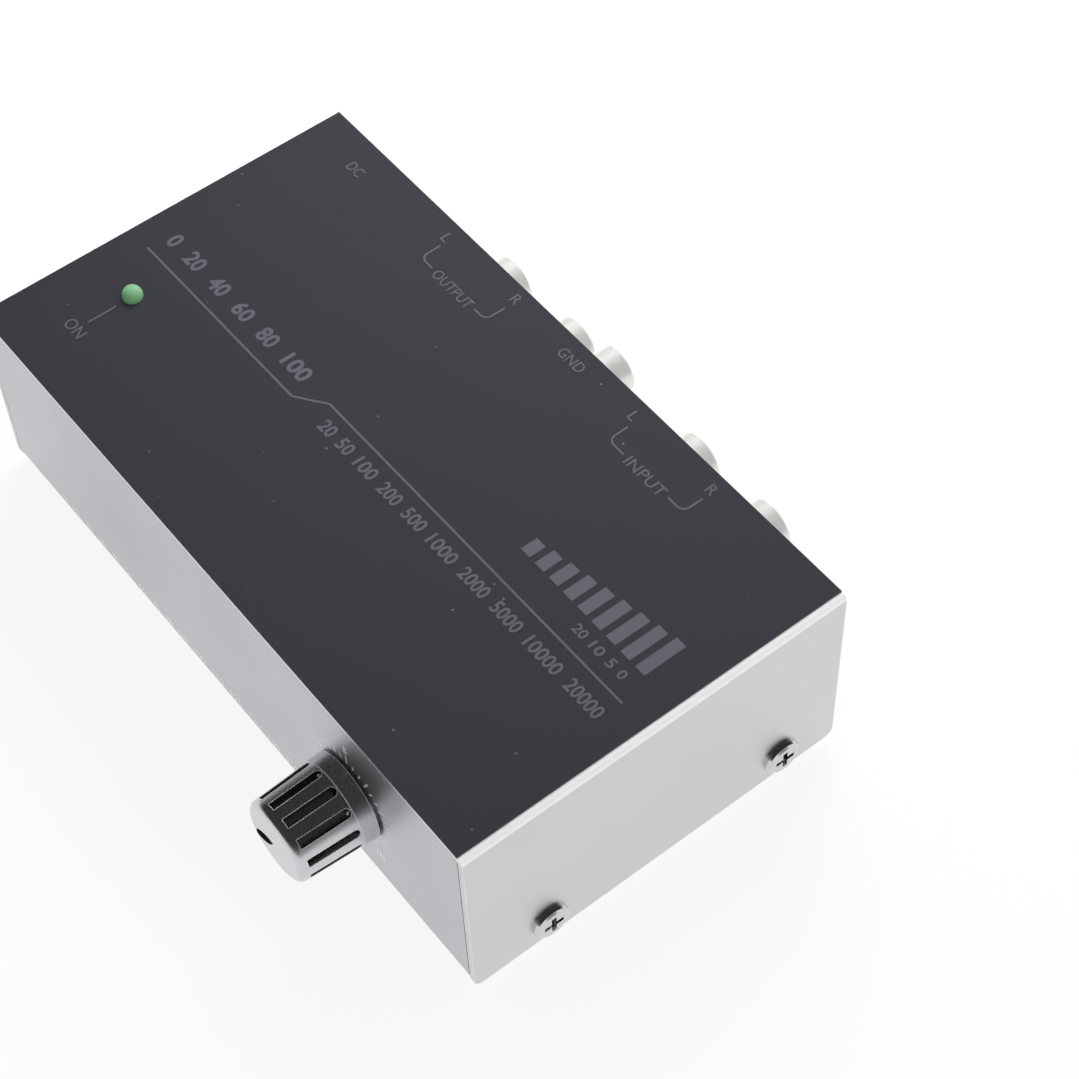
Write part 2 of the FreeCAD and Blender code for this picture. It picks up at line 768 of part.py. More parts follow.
route.addConstraint(Sketcher.Constraint("Vertical", 2))
route.addConstraint(Sketcher.Constraint("Tangent", 0, 2, 1, 1))
route.addConstraint(Sketcher.Constraint("Tangent", 1, 2, 2, 1))
hold(route, "Radius", 1, rule="wire_bend")
hold(route, "DistanceX", -1, 1, 2, 2, rule="-wire_run")
hold(route, "DistanceY", -1, 1, 2, 2, rule=f"-({wire_drop})")
section = draw(wire, "XZ_Plane")
circle(section, "0", "0", "wire_radius")
pipe = wire.newObject("PartDesign::AdditivePipe", "ground_wire_pipe")
pipe.Profile = section
pipe.Spine = (route, ["Edge1", "Edge2", "Edge3"])
wire.Tip = pipe
place(wire, "post_x", "rear_y - sheet - lug_sheet", "post_height - lug_tail + wire_radius * 2")

washer = turned("ground_washer", [
    ("post_radius + post_gap", "0"),
    ("washer_radius", "0"),
    ("washer_radius", "washer_sheet"),
    ("post_radius + post_gap", "washer_sheet"),
])
place(washer, "post_x", "rear_y", "post_height", TO_REAR)

thumb_nut = turned("ground_thumb_nut", [
    ("post_radius + post_gap", "0"),
    ("thumb_nut_radius", "0"),
    ("thumb_nut_radius", "thumb_nut_length"),
    ("post_radius + post_gap", "thumb_nut_length"),
])
soften(thumb_nut, "Chamfer", "thumb_nut_edge", lambda edge: isinstance(edge.Curve, Part.Circle)
       and near(edge.Curve.Radius, "thumb_nut_radius"))
place(thumb_nut, "post_x", "rear_y + washer_sheet", "post_height", TO_REAR)

# Volume control, with its shaft along the local Z axis towards the front

pot = new_body("pot_housing")
case = draw(pot, "XY_Plane", "-sheet")
rectangle(case, "-pot_width / 2", "pot_width / 2", "-axis_above_board", "pot_above_axis")
add(pot, "Pad", case, "pot_depth", backwards=True)
cavity = draw(pot, "XY_Plane", "-sheet - pot_wall")
circle(cavity, "0", "0", "track_radius + fit_gap")
add(pot, "Pocket", cavity, "pot_depth - 2 * pot_wall")
neck = draw(pot, "XY_Plane")
circle(neck, "0", "0", "shaft_radius + running_gap")
add(pot, "Pocket", neck, "sheet + 2 * pot_wall")
place(pot, "knob_x", "front_y", "axis_z", TO_FRONT)

track_back = "-sheet - pot_depth + pot_wall"
track = turned("pot_track", [
    ("0", track_back),
    ("track_radius", track_back),
    ("track_radius", f"{track_back} + track_sheet"),
    ("0", f"{track_back} + track_sheet"),
])
place(track, "knob_x", "front_y", "axis_z", TO_FRONT)

bushing = turned("pot_bushing", [
    ("shaft_radius + running_gap", "-sheet"),
    ("bushing_radius", "-sheet"),
    ("bushing_radius", "bushing_reach"),
    ("shaft_radius + running_gap", "bushing_reach"),
])
place(bushing, "knob_x", "front_y", "axis_z", TO_FRONT)

pot_washer = turned("pot_washer", [
    ("bushing_radius + fit_gap", "0"),
    ("pot_washer_radius", "0"),
    ("pot_washer_radius", "pot_washer_sheet"),
    ("bushing_radius + fit_gap", "pot_washer_sheet"),
])
place(pot_washer, "knob_x", "front_y", "axis_z", TO_FRONT)

pot_nut = hex_nut("pot_nut", "pot_nut_flats", "bushing_radius + fit_gap", "pot_nut_length")
place(pot_nut, "knob_x", "front_y - pot_washer_sheet", "axis_z", TO_FRONT)

wiper_front = f"{track_back} + track_sheet + fit_gap + wiper_sheet"
shaft = turned("pot_shaft", [
    ("0", wiper_front),
    ("shaft_radius", wiper_front),
    ("shaft_radius", "shaft_reach"),
    ("0", "shaft_reach"),
])
place(shaft, "knob_x", "front_y", "axis_z", TO_FRONT)

wiper = new_body("pot_wiper")
arm = draw(wiper, "XY_Plane", f"{wiper_front} - wiper_sheet")
rectangle(arm, "-wiper_width / 2", "wiper_width / 2", "-wiper_tail", "wiper_radius")
add(wiper, "Pad", arm, "wiper_sheet")
place(wiper, "knob_x", "front_y", "axis_z", TO_FRONT)

terminals = new_body("pot_terminals")
legs = draw(terminals, "YZ_Plane")
back = "-sheet - pot_depth"
low = "-axis_above_board"
outline(legs, [
    (f"{low} + terminal_height", back),
    (f"{low} + terminal_height", f"{back} - terminal_reach"),
    (low, f"{back} - terminal_reach"),
    (low, f"{back} - terminal_reach + terminal_sheet"),
    (f"{low} + terminal_height - terminal_sheet", f"{back} - terminal_reach + terminal_sheet"),
    (f"{low} + terminal_height - terminal_sheet", back),
])
add(terminals, "Pad", legs, "terminal_width", both_ways=True)
repeat(terminals, rows=[("X_Axis", "terminal_pitch", 3)])
place(terminals, "knob_x - terminal_pitch", "front_y", "axis_z", TO_FRONT)

# Volume knob: conical, with a plain skirt, twelve flutes and a lens-shaped pointer recess in its face

knob = turned("volume_knob", [
    ("knob_nut_room", "0"),
    ("knob_base", "0"),
    ("knob_base - skirt_step", "skirt_length"),
    ("knob_base - 2 * skirt_step", "skirt_length"),
    ("knob_face", "knob_length"),
    ("0", "knob_length"),
    ("0", "shaft_reach - knob_gap + knob_end_gap"),
    ("shaft_radius + knob_bore_gap", "shaft_reach - knob_gap + knob_end_gap"),
    ("shaft_radius + knob_bore_gap", "bushing_reach"),
    ("knob_bush_room", "bushing_reach"),
    ("knob_bush_room", "knob_nut_depth"),
    ("knob_nut_room", "knob_nut_depth"),
])
soften(knob, "Fillet", "knob_edge", lambda edge: ring_at(edge, "knob_face", "knob_length"))
flute = draw(knob, "XZ_Plane", "flute_floor")
half_width = number("flute_width / 2")
arc_up = number("flute_start") + half_width
top_up = number("flute_end")
corner = FreeCAD.Vector
flute.addGeometry(Part.LineSegment(corner(half_width, arc_up, 0), corner(half_width, top_up, 0)), False)
flute.addGeometry(Part.LineSegment(corner(half_width, top_up, 0), corner(-half_width, top_up, 0)), False)
flute.addGeometry(Part.LineSegment(corner(-half_width, top_up, 0), corner(-half_width, arc_up, 0)), False)
round_end = Part.Circle(corner(0, arc_up, 0), corner(0, 0, 1), half_width)
flute.addGeometry(Part.ArcOfCircle(round_end, pi, 2 * pi), False)
flute.addConstraint(Sketcher.Constraint("Coincident", 0, 2, 1, 1))
flute.addConstraint(Sketcher.Constraint("Coincident", 1, 2, 2, 1))
flute.addConstraint(Sketcher.Constraint("Tangent", 2, 2, 3, 1))
flute.addConstraint(Sketcher.Constraint("Tangent", 3, 2, 0, 1))
flute.addConstraint(Sketcher.Constraint("Vertical", 0))
flute.addConstraint(Sketcher.Constraint("Horizontal", 1))
flute.addConstraint(Sketcher.Constraint("PointOnObject", 3, 3, -2))
hold(flute, "Radius", 3, rule="flute_width / 2")
hold(flute, "DistanceY", -1, 1, 3, 3, rule="flute_start + flute_width / 2")
hold(flute, "DistanceY", -1, 1, 0, 2, rule="flute_end")
flute_cut = add(knob, "Pocket", flute, "through", backwards=True)
flutes = knob.newObject("PartDesign::PolarPattern", "knob_flutes")
flutes.Originals = [flute_cut]
flutes.Axis = (origin_part(knob, "Z_Axis"), [""])
flutes.Angle = 360
flutes.setExpression("Occurrences", formula("flute_count"))
knob.Tip = flutes
doc.recompute()
pointer = draw(knob, "XY_Plane", "knob_length")
pointer.setExpression("AttachmentOffset.Rotation.Angle", formula("180 / flute_count"))
near_end = FreeCAD.Vector(0, number("pointer_start"), 0)
far_end = FreeCAD.Vector(0, number("pointer_end"), 0)
bulge = FreeCAD.Vector(number("pointer_width / 2"), 0, 0)
middle = (near_end + far_end) / 2
pointer.addGeometry(Part.Arc(near_end, middle + bulge, far_end), False)
pointer.addGeometry(Part.Arc(far_end, middle - bulge, near_end), False)
pointer.addConstraint(Sketcher.Constraint("Coincident", 0, 2, 1, 1))
pointer.addConstraint(Sketcher.Constraint("Coincident", 1, 2, 0, 1))
hold_point(pointer, 0, 1, "0", "pointer_start")
hold_point(pointer, 0, 2, "0", "pointer_end")
hold(pointer, "Radius", 0, rule="pointer_arc")
hold(pointer, "Radius", 1, rule="pointer_arc")
add(knob, "Pocket", pointer, "pointer_depth")
knob_rest = FreeCAD.Rotation(FreeCAD.Vector(0, 0, 1), number("pointer_turn - 180 / flute_count"))
place(knob, "knob_x", "front_y - knob_gap", "axis_z", TO_FRONT.multiply(knob_rest))

# Lamp on a spacer, with its two leads down to the board

lamp = turned("status_led", [
    ("0", "0"),
    ("led_flange", "0"),
    ("led_flange", "led_flange_length"),
    ("led_radius", "led_flange_length"),
    ("led_radius", "led_length"),
    ("0", "led_length"),
])
soften(lamp, "Fillet", "led_dome", lambda edge: ring_at(edge, "led_radius", "led_length"))
place(lamp, "led_x", "led_y", "led_base_z")

lead_length = "led_base_z - board_top_z"
leads = block("led_leads", "-led_lead / 2", "led_lead / 2", "-led_lead / 2", "led_lead / 2", "0", lead_length)
repeat(leads, rows=[("X_Axis", "led_lead_pitch", 2)])
place(leads, "led_x - led_lead_pitch / 2", "led_y", "board_top_z")

spacer = new_body("led_spacer")
section = draw(spacer, "XY_Plane")
circle(section, "0", "0", "led_spacer_radius")
circle(section, "-led_lead_pitch / 2", "0", "led_spacer_bore")
circle(section, "led_lead_pitch / 2", "0", "led_spacer_bore")
add(spacer, "Pad", section, lead_length)
place(spacer, "led_x", "led_y", "board_top_z")


# Parts on the board

CHIP_SIDE_LEGS = 4


def chip(label, across, back):
    """An amplifier chip with four legs on each side, down to the board."""
    body = block(label, "-chip_length / 2", "chip_length / 2", "-chip_width / 2", "chip_width / 2",
                 "chip_stand", "chip_stand + chip_height")
    legs = draw(body, "XY_Plane")
    for step in range(CHIP_SIDE_LEGS):
        spot = f"({step} - ({CHIP_SIDE_LEGS} - 1) / 2) * chip_leg_pitch"
        for side in ("-1", "1"):
            inner = f"{side} * chip_width / 2"
            outer = f"{side} * (chip_width / 2 + chip_leg_sheet)"
            near_y, far_y = (outer, inner) if side == "-1" else (inner, outer)
            rectangle(legs, f"{spot} - chip_leg_width / 2", f"{spot} + chip_leg_width / 2", near_y, far_y)
    add(body, "Pad", legs, "chip_stand + chip_height / 2")
    place(body, across, f"front_y + {back}", "board_top_z")


def standing_cans(label, radius, height, edge_radius, pitch, count, across, back):
    """A row of round capacitors that stand on the board."""
    body = turned(label, [("0", "0"), (radius, "0"), (radius, height), ("0", height)])
    soften(body, "Fillet", edge_radius, lambda edge: ring_at(edge, radius, height))
    repeat(body, rows=[("X_Axis", pitch, count)])
    place(body, across, f"front_y + {back}", "board_top_z")


def lying_part(label, radius, length, span):
    """A round part about Z with a lead bent towards -Y at each end; turned to the front, it lies on them."""
    body = turned(label, [("0", f"-({length}) / 2"), (radius, f"-({length}) / 2"),
                          (radius, f"({length}) / 2"), ("0", f"({length}) / 2")])
    lead = draw(body, "YZ_Plane")
    drop = f"({radius}) + axial_stand"
    for side in ("-1", "1"):
        outer, inner = f"{side} * ({span}) / 2", f"{side} * (({span}) / 2 - 2 * axial_lead)"
        root = f"{side} * ({length}) / 2"
        outline(lead, [("axial_lead", root), ("axial_lead", outer), (f"-({drop})", outer),
                       (f"-({drop})", inner), ("-axial_lead", inner), ("-axial_lead", root)])
    add(body, "Pad", lead, "2 * axial_lead", both_ways=True)
    return body


chip("input_amp_chip", "input_chip_x", "rear_row")
chip("output_amp_chip", "output_chip_x", "rear_row")
standing_cans("supply_capacitors", "supply_cap_radius", "supply_cap_height", "supply_cap_edge",
              "supply_cap_pitch", 2, "supply_cap_x", "supply_cap_row")
standing_cans("coupling_capacitors", "coupling_cap_radius", "coupling_cap_height", "coupling_cap_edge",
              "coupling_cap_pitch", 4, "coupling_cap_x", "middle_row")

film_caps = block("equaliser_capacitors", "-film_cap_length / 2", "film_cap_length / 2",
                  "-film_cap_width / 2", "film_cap_width / 2", "0", "film_cap_height")
soften(film_caps, "Fillet", "film_cap_edge", lambda edge: along(edge, 2))
repeat(film_caps, rows=[("X_Axis", "film_cap_pitch", 4)])
place(film_caps, "film_cap_x", "front_y + middle_row", "board_top_z")

resistors = lying_part("resistors", "resistor_radius", "resistor_length", "resistor_span")
repeat(resistors, rows=[("X_Axis", "resistor_pitch", 6)])
place(resistors, "resistor_x", "front_y + front_row", "board_top_z + resistor_radius + axial_stand", TO_FRONT)
diode = lying_part("protection_diode", "diode_radius", "diode_length", "diode_span")
place(diode, "diode_x", "front_y + front_row", "board_top_z + diode_radius + axial_stand", TO_FRONT)

regulator = block("voltage_regulator", "-regulator_width / 2", "regulator_width / 2", "0",
                  "regulator_body", "regulator_stand", "regulator_stand + regulator_height")
tab = draw(regulator, "XZ_Plane", "-(regulator_body - regulator_sheet)")
rectangle(tab, "-regulator_width / 2", "regulator_width / 2", "regulator_stand",
          "regulator_stand + regulator_height + regulator_tab")
add(regulator, "Pad", tab, "regulator_sheet", backwards=True)
tab_hole = draw(regulator, "XZ_Plane")
circle(tab_hole, "0", "regulator_stand + regulator_height + regulator_tab / 2", "regulator_tab_hole")
add(regulator, "Pocket", tab_hole, "through", both_ways=True)
legs = draw(regulator, "XY_Plane")
for step in (-1, 0, 1):
    spot = f"{step} * regulator_leg_pitch"
    rectangle(legs, f"{spot} - regulator_leg / 2", f"{spot} + regulator_leg / 2",
              "regulator_body / 2 - regulator_leg / 2", "regulator_body / 2 + regulator_leg / 2")
add(regulator, "Pad", legs, "regulator_stand + regulator_leg")
place(regulator, "regulator_x", "front_y + rear_row", "board_top_z")

# Checks, then one file for each piece

doc.recompute()
for item in doc.Objects:
    if "Invalid" in item.State or "Error" in item.State:
        raise ValueError(f"{item.Label} failed: {item.State}")
for body in nodes:
    shape = body.Shape
    if shape.isNull() or not shape.isValid() or not shape.Solids:
        raise ValueError(f"{body.Label} has no valid solid")

os.makedirs("parts", exist_ok=True)
for body in nodes:
    body.Shape.exportStep(f"parts/{body.Label}.step")
    print(f"{body.Label}: {len(body.Shape.Solids)} solids, {body.Shape.Volume:.1f} cubic mm")
print(f"{len(nodes)} nodes")
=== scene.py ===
# %% [markdown]
# # A small phono preamp
# This lesson dresses a folded metal box with a dark printed top, a fluted volume knob,
# a green lamp and a row of phono jacks. The solids of the object come ready made, in metres,
# with X to the right, Y to the rear and Z up. We add the finishes, the print, the light and the camera.

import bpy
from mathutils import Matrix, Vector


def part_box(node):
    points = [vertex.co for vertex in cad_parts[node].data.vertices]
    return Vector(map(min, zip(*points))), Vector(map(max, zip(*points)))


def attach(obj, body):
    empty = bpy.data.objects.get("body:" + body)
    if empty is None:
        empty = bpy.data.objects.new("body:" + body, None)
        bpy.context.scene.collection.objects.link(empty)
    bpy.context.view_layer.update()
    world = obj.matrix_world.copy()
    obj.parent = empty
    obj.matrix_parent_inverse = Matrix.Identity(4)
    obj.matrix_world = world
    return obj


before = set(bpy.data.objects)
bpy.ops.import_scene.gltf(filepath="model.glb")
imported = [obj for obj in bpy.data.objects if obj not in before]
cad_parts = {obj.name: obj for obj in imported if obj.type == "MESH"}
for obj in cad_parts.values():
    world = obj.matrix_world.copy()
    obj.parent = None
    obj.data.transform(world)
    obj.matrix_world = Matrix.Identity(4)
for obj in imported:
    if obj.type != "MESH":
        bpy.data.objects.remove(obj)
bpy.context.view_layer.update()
print("pieces:", len(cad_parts))

# %% [markdown]
# ## Tools and units
# Sizes in this lesson are thought of in millimetres and kept in metres. The plain colour transform
# keeps white white.

# %% Tools and units
from math import cos, pi, radians, sin

import bmesh
import bpy
from mathutils import Vector

MM = 0.001
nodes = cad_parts
scene = bpy.context.scene
scene.view_settings.view_transform = "Standard"
print("colour transform:", scene.view_settings.view_transform)

# %% [markdown]
# ## Where things are
# Every place is read from the solids, so the print stays on its panel. The case's own corners give
# the left and right edges, the front face, the lower rim and the level of the dark top.

# %% Measure the case
cover_low, cover_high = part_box("top_cover")
LEFT, RIGHT = cover_low[0], cover_high[0]
FRONT, FOOT = cover_low[1], cover_low[2]
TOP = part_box("top_overlay")[1][2]
knob_low, knob_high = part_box("volume_knob")
KNOB_X = (knob_low[0] + knob_high[0]) / 2
KNOB_Z = (knob_low[2] + knob_high[2]) / 2
print("case width in mm:", round((RIGHT - LEFT) / MM, 2), "top at", round(TOP / MM, 2))

# %% [markdown]
# ## The camera
# The object is seen from its front right corner, high above the table, through a long lens.
# A long lens keeps the far edges of the box nearly parallel to the near ones.

# %% Camera
CAMERA_PLACE = Vector((183.89, -107.43, 305.56)) * MM
CAMERA_TURN = (radians(35.854), radians(1.645), radians(52.020))
CAMERA_LENS = 88.578

camera = bpy.data.objects.new("camera", bpy.data.cameras.new("camera"))
camera.location = CAMERA_PLACE
camera.rotation_euler = CAMERA_TURN
camera.data.lens = CAMERA_LENS
camera.data.sensor_width = 36.0
camera.data.clip_start = 0.01
scene.collection.objects.link(camera)
scene.camera = camera
print("camera looks from", [round(value, 3) for value in CAMERA_PLACE])

# %% [markdown]
# ## Small helpers for materials
# A material here is a handful of nodes around one Principled shader. These helpers make the nodes
# and join them, so that each finish can be written in a few lines.


# %% Node helpers
def new_material(name):
    """An empty material with its Principled shader."""
    material = bpy.data.materials.new(name)
    material.use_nodes = True
    return material, material.node_tree, material.node_tree.nodes["Principled BSDF"]


def add_node(tree, kind, **values):
    """One node, with its plain settings and the values of its unlinked inputs."""
    node = tree.nodes.new(kind)
    for key, value in values.items():
        if hasattr(node, key):
            setattr(node, key, value)
        else:
            node.inputs[key.replace("_", " ").title()].default_value = value
    return node


def join(tree, source, target):
    tree.links.new(source, target)


def math_node(tree, operation, first, second=None, clamp=False):
    """One math node; its inputs are sockets or plain numbers."""
    node = add_node(tree, "ShaderNodeMath", operation=operation, use_clamp=clamp)
    for place, value in enumerate((first, second)):
        if isinstance(value, (int, float)):
            node.inputs[place].default_value = value
        elif value is not None:
            join(tree, value, node.inputs[place])
    return node.outputs[0]


def step_mask(tree, value, start, end):
    """0 before start and 1 beyond end, with a soft step between them."""
    ramp = add_node(tree, "ShaderNodeMapRange")
    ramp.inputs["From Min"].default_value, ramp.inputs["From Max"].default_value = start, end
    join(tree, value, ramp.inputs["Value"])
    return ramp.outputs["Result"]


def mix_color(tree, share, first, second):
    """A mix of two colours; each is a socket or a plain colour."""
    node = add_node(tree, "ShaderNodeMix", data_type="RGBA")
    join(tree, share, node.inputs[0])
    for place, value in ((6, first), (7, second)):
        if isinstance(value, tuple):
            node.inputs[place].default_value = value
        else:
            join(tree, value, node.inputs[place])
    return node.outputs[2]


def object_place(tree):
    """The place of a point in the object's own axes."""
    return add_node(tree, "ShaderNodeTexCoord").outputs["Object"]


def split_xyz(tree, vector):
    node = add_node(tree, "ShaderNodeSeparateXYZ")
    join(tree, vector, node.inputs[0])
    return node.outputs


def grey(level, cast=0.0):
    """A neutral colour with a slight cast towards blue."""
    return (level, level, level * (1.0 + cast), 1.0)


print("helpers ready")

# %% [markdown]
# ## Grain, wear and dust as shared groups
# Satin metal, moulded plastic and print film all have a fine grain that changes how sharp a
# reflection is. Corners are worn a little brighter, and on the knob the same corner mask places painted
# highlights. Flat tops collect a few specks of dust.
# Each effect is one node group, used by many materials with other numbers.


# %% Start of a group
def start_group(name, inputs, outputs):
    """An empty node group with named sockets, and its first and last node."""
    group = bpy.data.node_groups.new(name, "ShaderNodeTree")
    for in_out, sockets in (("INPUT", inputs), ("OUTPUT", outputs)):
        for socket, kind in sockets.items():
            group.interface.new_socket(socket, in_out=in_out, socket_type="NodeSocket" + kind)
    return group, add_node(group, "NodeGroupInput"), add_node(group, "NodeGroupOutput")


# %% Group: fine grain
def make_grain_group():
    """Fine surface grain: a roughness between two ends and a height for the bump."""
    group, enter, leave = start_group("fine_grain", {"Scale": "Float", "Low": "Float", "High": "Float"},
                                      {"Roughness": "Float", "Height": "Float"})
    place = object_place(group)
    speckle = add_node(group, "ShaderNodeTexNoise", detail=3.0, roughness=0.6)
    join(group, place, speckle.inputs["Vector"])
    join(group, enter.outputs["Scale"], speckle.inputs["Scale"])
    cloud = add_node(group, "ShaderNodeTexNoise", scale=60.0, detail=2.0)
    join(group, place, cloud.inputs["Vector"])
    both = add_node(group, "ShaderNodeMix", data_type="FLOAT")
    both.inputs[0].default_value = 0.35
    join(group, speckle.outputs["Fac"], both.inputs[2])
    join(group, cloud.outputs["Fac"], both.inputs[3])
    spread = add_node(group, "ShaderNodeMapRange")
    spread.inputs["From Min"].default_value, spread.inputs["From Max"].default_value = 0.3, 0.7
    join(group, both.outputs[0], spread.inputs["Value"])
    join(group, enter.outputs["Low"], spread.inputs["To Min"])
    join(group, enter.outputs["High"], spread.inputs["To Max"])
    join(group, spread.outputs["Result"], leave.inputs["Roughness"])
    join(group, speckle.outputs["Fac"], leave.inputs["Height"])
    return group


grain_group = make_grain_group()
print("group:", grain_group.name)


# %% Group: edge wear and highlights
def make_wear_and_highlight_group():
    """Corners worn bright: mixes a worn colour in where the surface turns sharply; its mask also places
    painted highlights on the knob.
    """
    group, enter, leave = start_group("edge_wear_and_highlight", {"Color": "Color", "Worn Color": "Color",
                                                    "Width": "Float", "Amount": "Float"},
                                      {"Color": "Color", "Mask": "Float"})
    bevel = add_node(group, "ShaderNodeBevel", samples=6)
    join(group, enter.outputs["Width"], bevel.inputs["Radius"])
    turn = add_node(group, "ShaderNodeVectorMath", operation="DOT_PRODUCT")
    join(group, bevel.outputs[0], turn.inputs[0])
    join(group, add_node(group, "ShaderNodeNewGeometry").outputs["Normal"], turn.inputs[1])
    sharp = step_mask(group, turn.outputs["Value"], 1.0, 0.8)
    patches = add_node(group, "ShaderNodeTexNoise", scale=220.0, detail=4.0)
    join(group, object_place(group), patches.inputs["Vector"])
    broken = math_node(group, "MULTIPLY", sharp, patches.outputs["Fac"])
    mask = math_node(group, "MULTIPLY", broken, enter.outputs["Amount"], clamp=True)
    blend = mix_color(group, mask, enter.outputs["Color"], enter.outputs["Worn Color"])
    join(group, blend, leave.inputs["Color"])
    join(group, mask, leave.inputs["Mask"])
    return group


wear_and_highlight_group = make_wear_and_highlight_group()
print("group:", wear_and_highlight_group.name)


# %% Group: dust
def make_dust_group():
    """Sparse pale specks on faces that look up."""
    group, enter, leave = start_group("dust_specks", {"Color": "Color", "Dust Color": "Color",
                                                      "Amount": "Float"}, {"Color": "Color"})
    cells = add_node(group, "ShaderNodeTexVoronoi", scale=420.0)
    join(group, object_place(group), cells.inputs["Vector"])
    speck = step_mask(group, cells.outputs["Distance"], 0.09, 0.05)
    chance = add_node(group, "ShaderNodeSeparateColor")
    join(group, cells.outputs["Color"], chance.inputs[0])
    chosen = math_node(group, "MULTIPLY", speck, math_node(group, "GREATER_THAN", chance.outputs[0], 0.75))
    upward = split_xyz(group, add_node(group, "ShaderNodeNewGeometry").outputs["Normal"])["Z"]
    lying = math_node(group, "MULTIPLY", chosen, upward, clamp=True)
    amount = math_node(group, "MULTIPLY", lying, enter.outputs["Amount"], clamp=True)
    blend = mix_color(group, amount, enter.outputs["Color"], enter.outputs["Dust Color"])
    join(group, blend, leave.inputs["Color"])
    return group


dust_group = make_dust_group()
print("group:", dust_group.name)

# %% [markdown]
# ## One recipe for most finishes
# A finish is a colour, how much of it is metal, how sharp its reflections are, and its grain.
# The recipe puts the shared groups in front of one Principled shader.


# %% Finish recipe
def finish(name, color, metallic=0.0, rough=(0.35, 0.45), scale=2500.0, bump=0.02,
           worn=None, wear=0.8, dust=0.0, coat=0.0, coat_rough=0.1):
    """A procedural material with grain, rubbed corners and dust; bump is in millimetres."""
    material, tree, shader = new_material(name)
    shader.inputs["Metallic"].default_value = metallic
    shader.inputs["Coat Weight"].default_value = coat
    shader.inputs["Coat Roughness"].default_value = coat_rough
    grain = add_node(tree, "ShaderNodeGroup")
    grain.node_tree = grain_group
    grain.inputs["Scale"].default_value = scale
    grain.inputs["Low"].default_value, grain.inputs["High"].default_value = rough
    join(tree, grain.outputs["Roughness"], shader.inputs["Roughness"])
    relief = add_node(tree, "ShaderNodeBump")
    relief.inputs["Strength"].default_value = 0.35
    relief.inputs["Distance"].default_value = bump * MM
    join(tree, grain.outputs["Height"], relief.inputs["Height"])
    join(tree, relief.outputs["Normal"], shader.inputs["Normal"])
    edge = add_node(tree, "ShaderNodeGroup")
    edge.node_tree = wear_and_highlight_group
    edge.inputs["Color"].default_value = color
    edge.inputs["Worn Color"].default_value = worn or color
    edge.inputs["Width"].default_value = 0.3 * MM
    edge.inputs["Amount"].default_value = wear if worn else 0.0
    specks = add_node(tree, "ShaderNodeGroup")
    specks.node_tree = dust_group
    specks.inputs["Dust Color"].default_value = grey(0.35)
    specks.inputs["Amount"].default_value = dust
    join(tree, edge.outputs["Color"], specks.inputs["Color"])
    join(tree, specks.outputs["Color"], shader.inputs["Base Color"])
    return material


def lay_over(material, mask, color, metal=0.0):
    """Mix a colour over a finish where a mask says so, and change how metallic it is there."""
    tree = material.node_tree
    shader = tree.nodes["Principled BSDF"]
    painted = mix_color(tree, mask, shader.inputs["Base Color"].links[0].from_socket, color)
    join(tree, painted, shader.inputs["Base Color"])
    share = add_node(tree, "ShaderNodeMix", data_type="FLOAT")
    share.inputs[3].default_value = metal
    join(tree, mask, share.inputs[0])
    if shader.inputs["Metallic"].is_linked:
        join(tree, shader.inputs["Metallic"].links[0].from_socket, share.inputs[2])
    else:
        share.inputs[2].default_value = shader.inputs["Metallic"].default_value
    join(tree, share.outputs[0], shader.inputs["Metallic"])


def dress(material, *names):
    """Give a material to ready-made pieces."""
    for name in names:
        mesh = nodes[name].data
        mesh.materials.clear()
        mesh.materials.append(material)


print("recipe ready")

# %% [markdown]
# ## The case
# The cover and the pan are satin silver sheet. A metal finish has Metallic 1 and takes its look from
# what it reflects, so a fairly rough surface gives the even grey of the real panels. The pan is given a
# darker grey than the cover as painted shade, for its front gets less light than the cover's side. Along
# the cover's folds and on its front cut edge a near white is painted in as painted highlights.

# %% Case finishes
cover_silver = finish("cover_silver", grey(0.66, 0.02), metallic=1.0, rough=(0.34, 0.46), scale=3200.0,
                      bump=0.012, worn=grey(0.95), wear=1.2)
# The pan's grey is darker than the cover's as painted shade: its front gets less light than the cover's right
# side.
pan_silver_painted_shade = finish("pan_silver_painted_shade", grey(0.555, 0.05), metallic=1.0, rough=(0.34, 0.46), scale=3200.0,
                    bump=0.012, worn=grey(0.8), wear=1.0)
film = finish("dark_print_film", grey(0.028, 0.28), rough=(0.45, 0.55), scale=4200.0, bump=0.006,
              worn=grey(0.05), wear=0.4, dust=0.25)
dress(cover_silver, "top_cover")
dress(pan_silver_painted_shade, "bottom_pan")
dress(film, "top_overlay")

# Each pair is how far from the edge the painted highlight starts, and how far from it the painted highlight
# is full.
SIDE_HIGHLIGHT_BAND, TOP_HIGHLIGHT_BAND = (1.15 * MM, 1.0 * MM), (1.1 * MM, 0.8 * MM)
LIP_HIGHLIGHT_FRONT, LIP_HIGHLIGHT_TOP, LIP_HIGHLIGHT_SHARE = (0.06 * MM, 0.02 * MM), (0.45 * MM, 0.35 * MM), 0.8


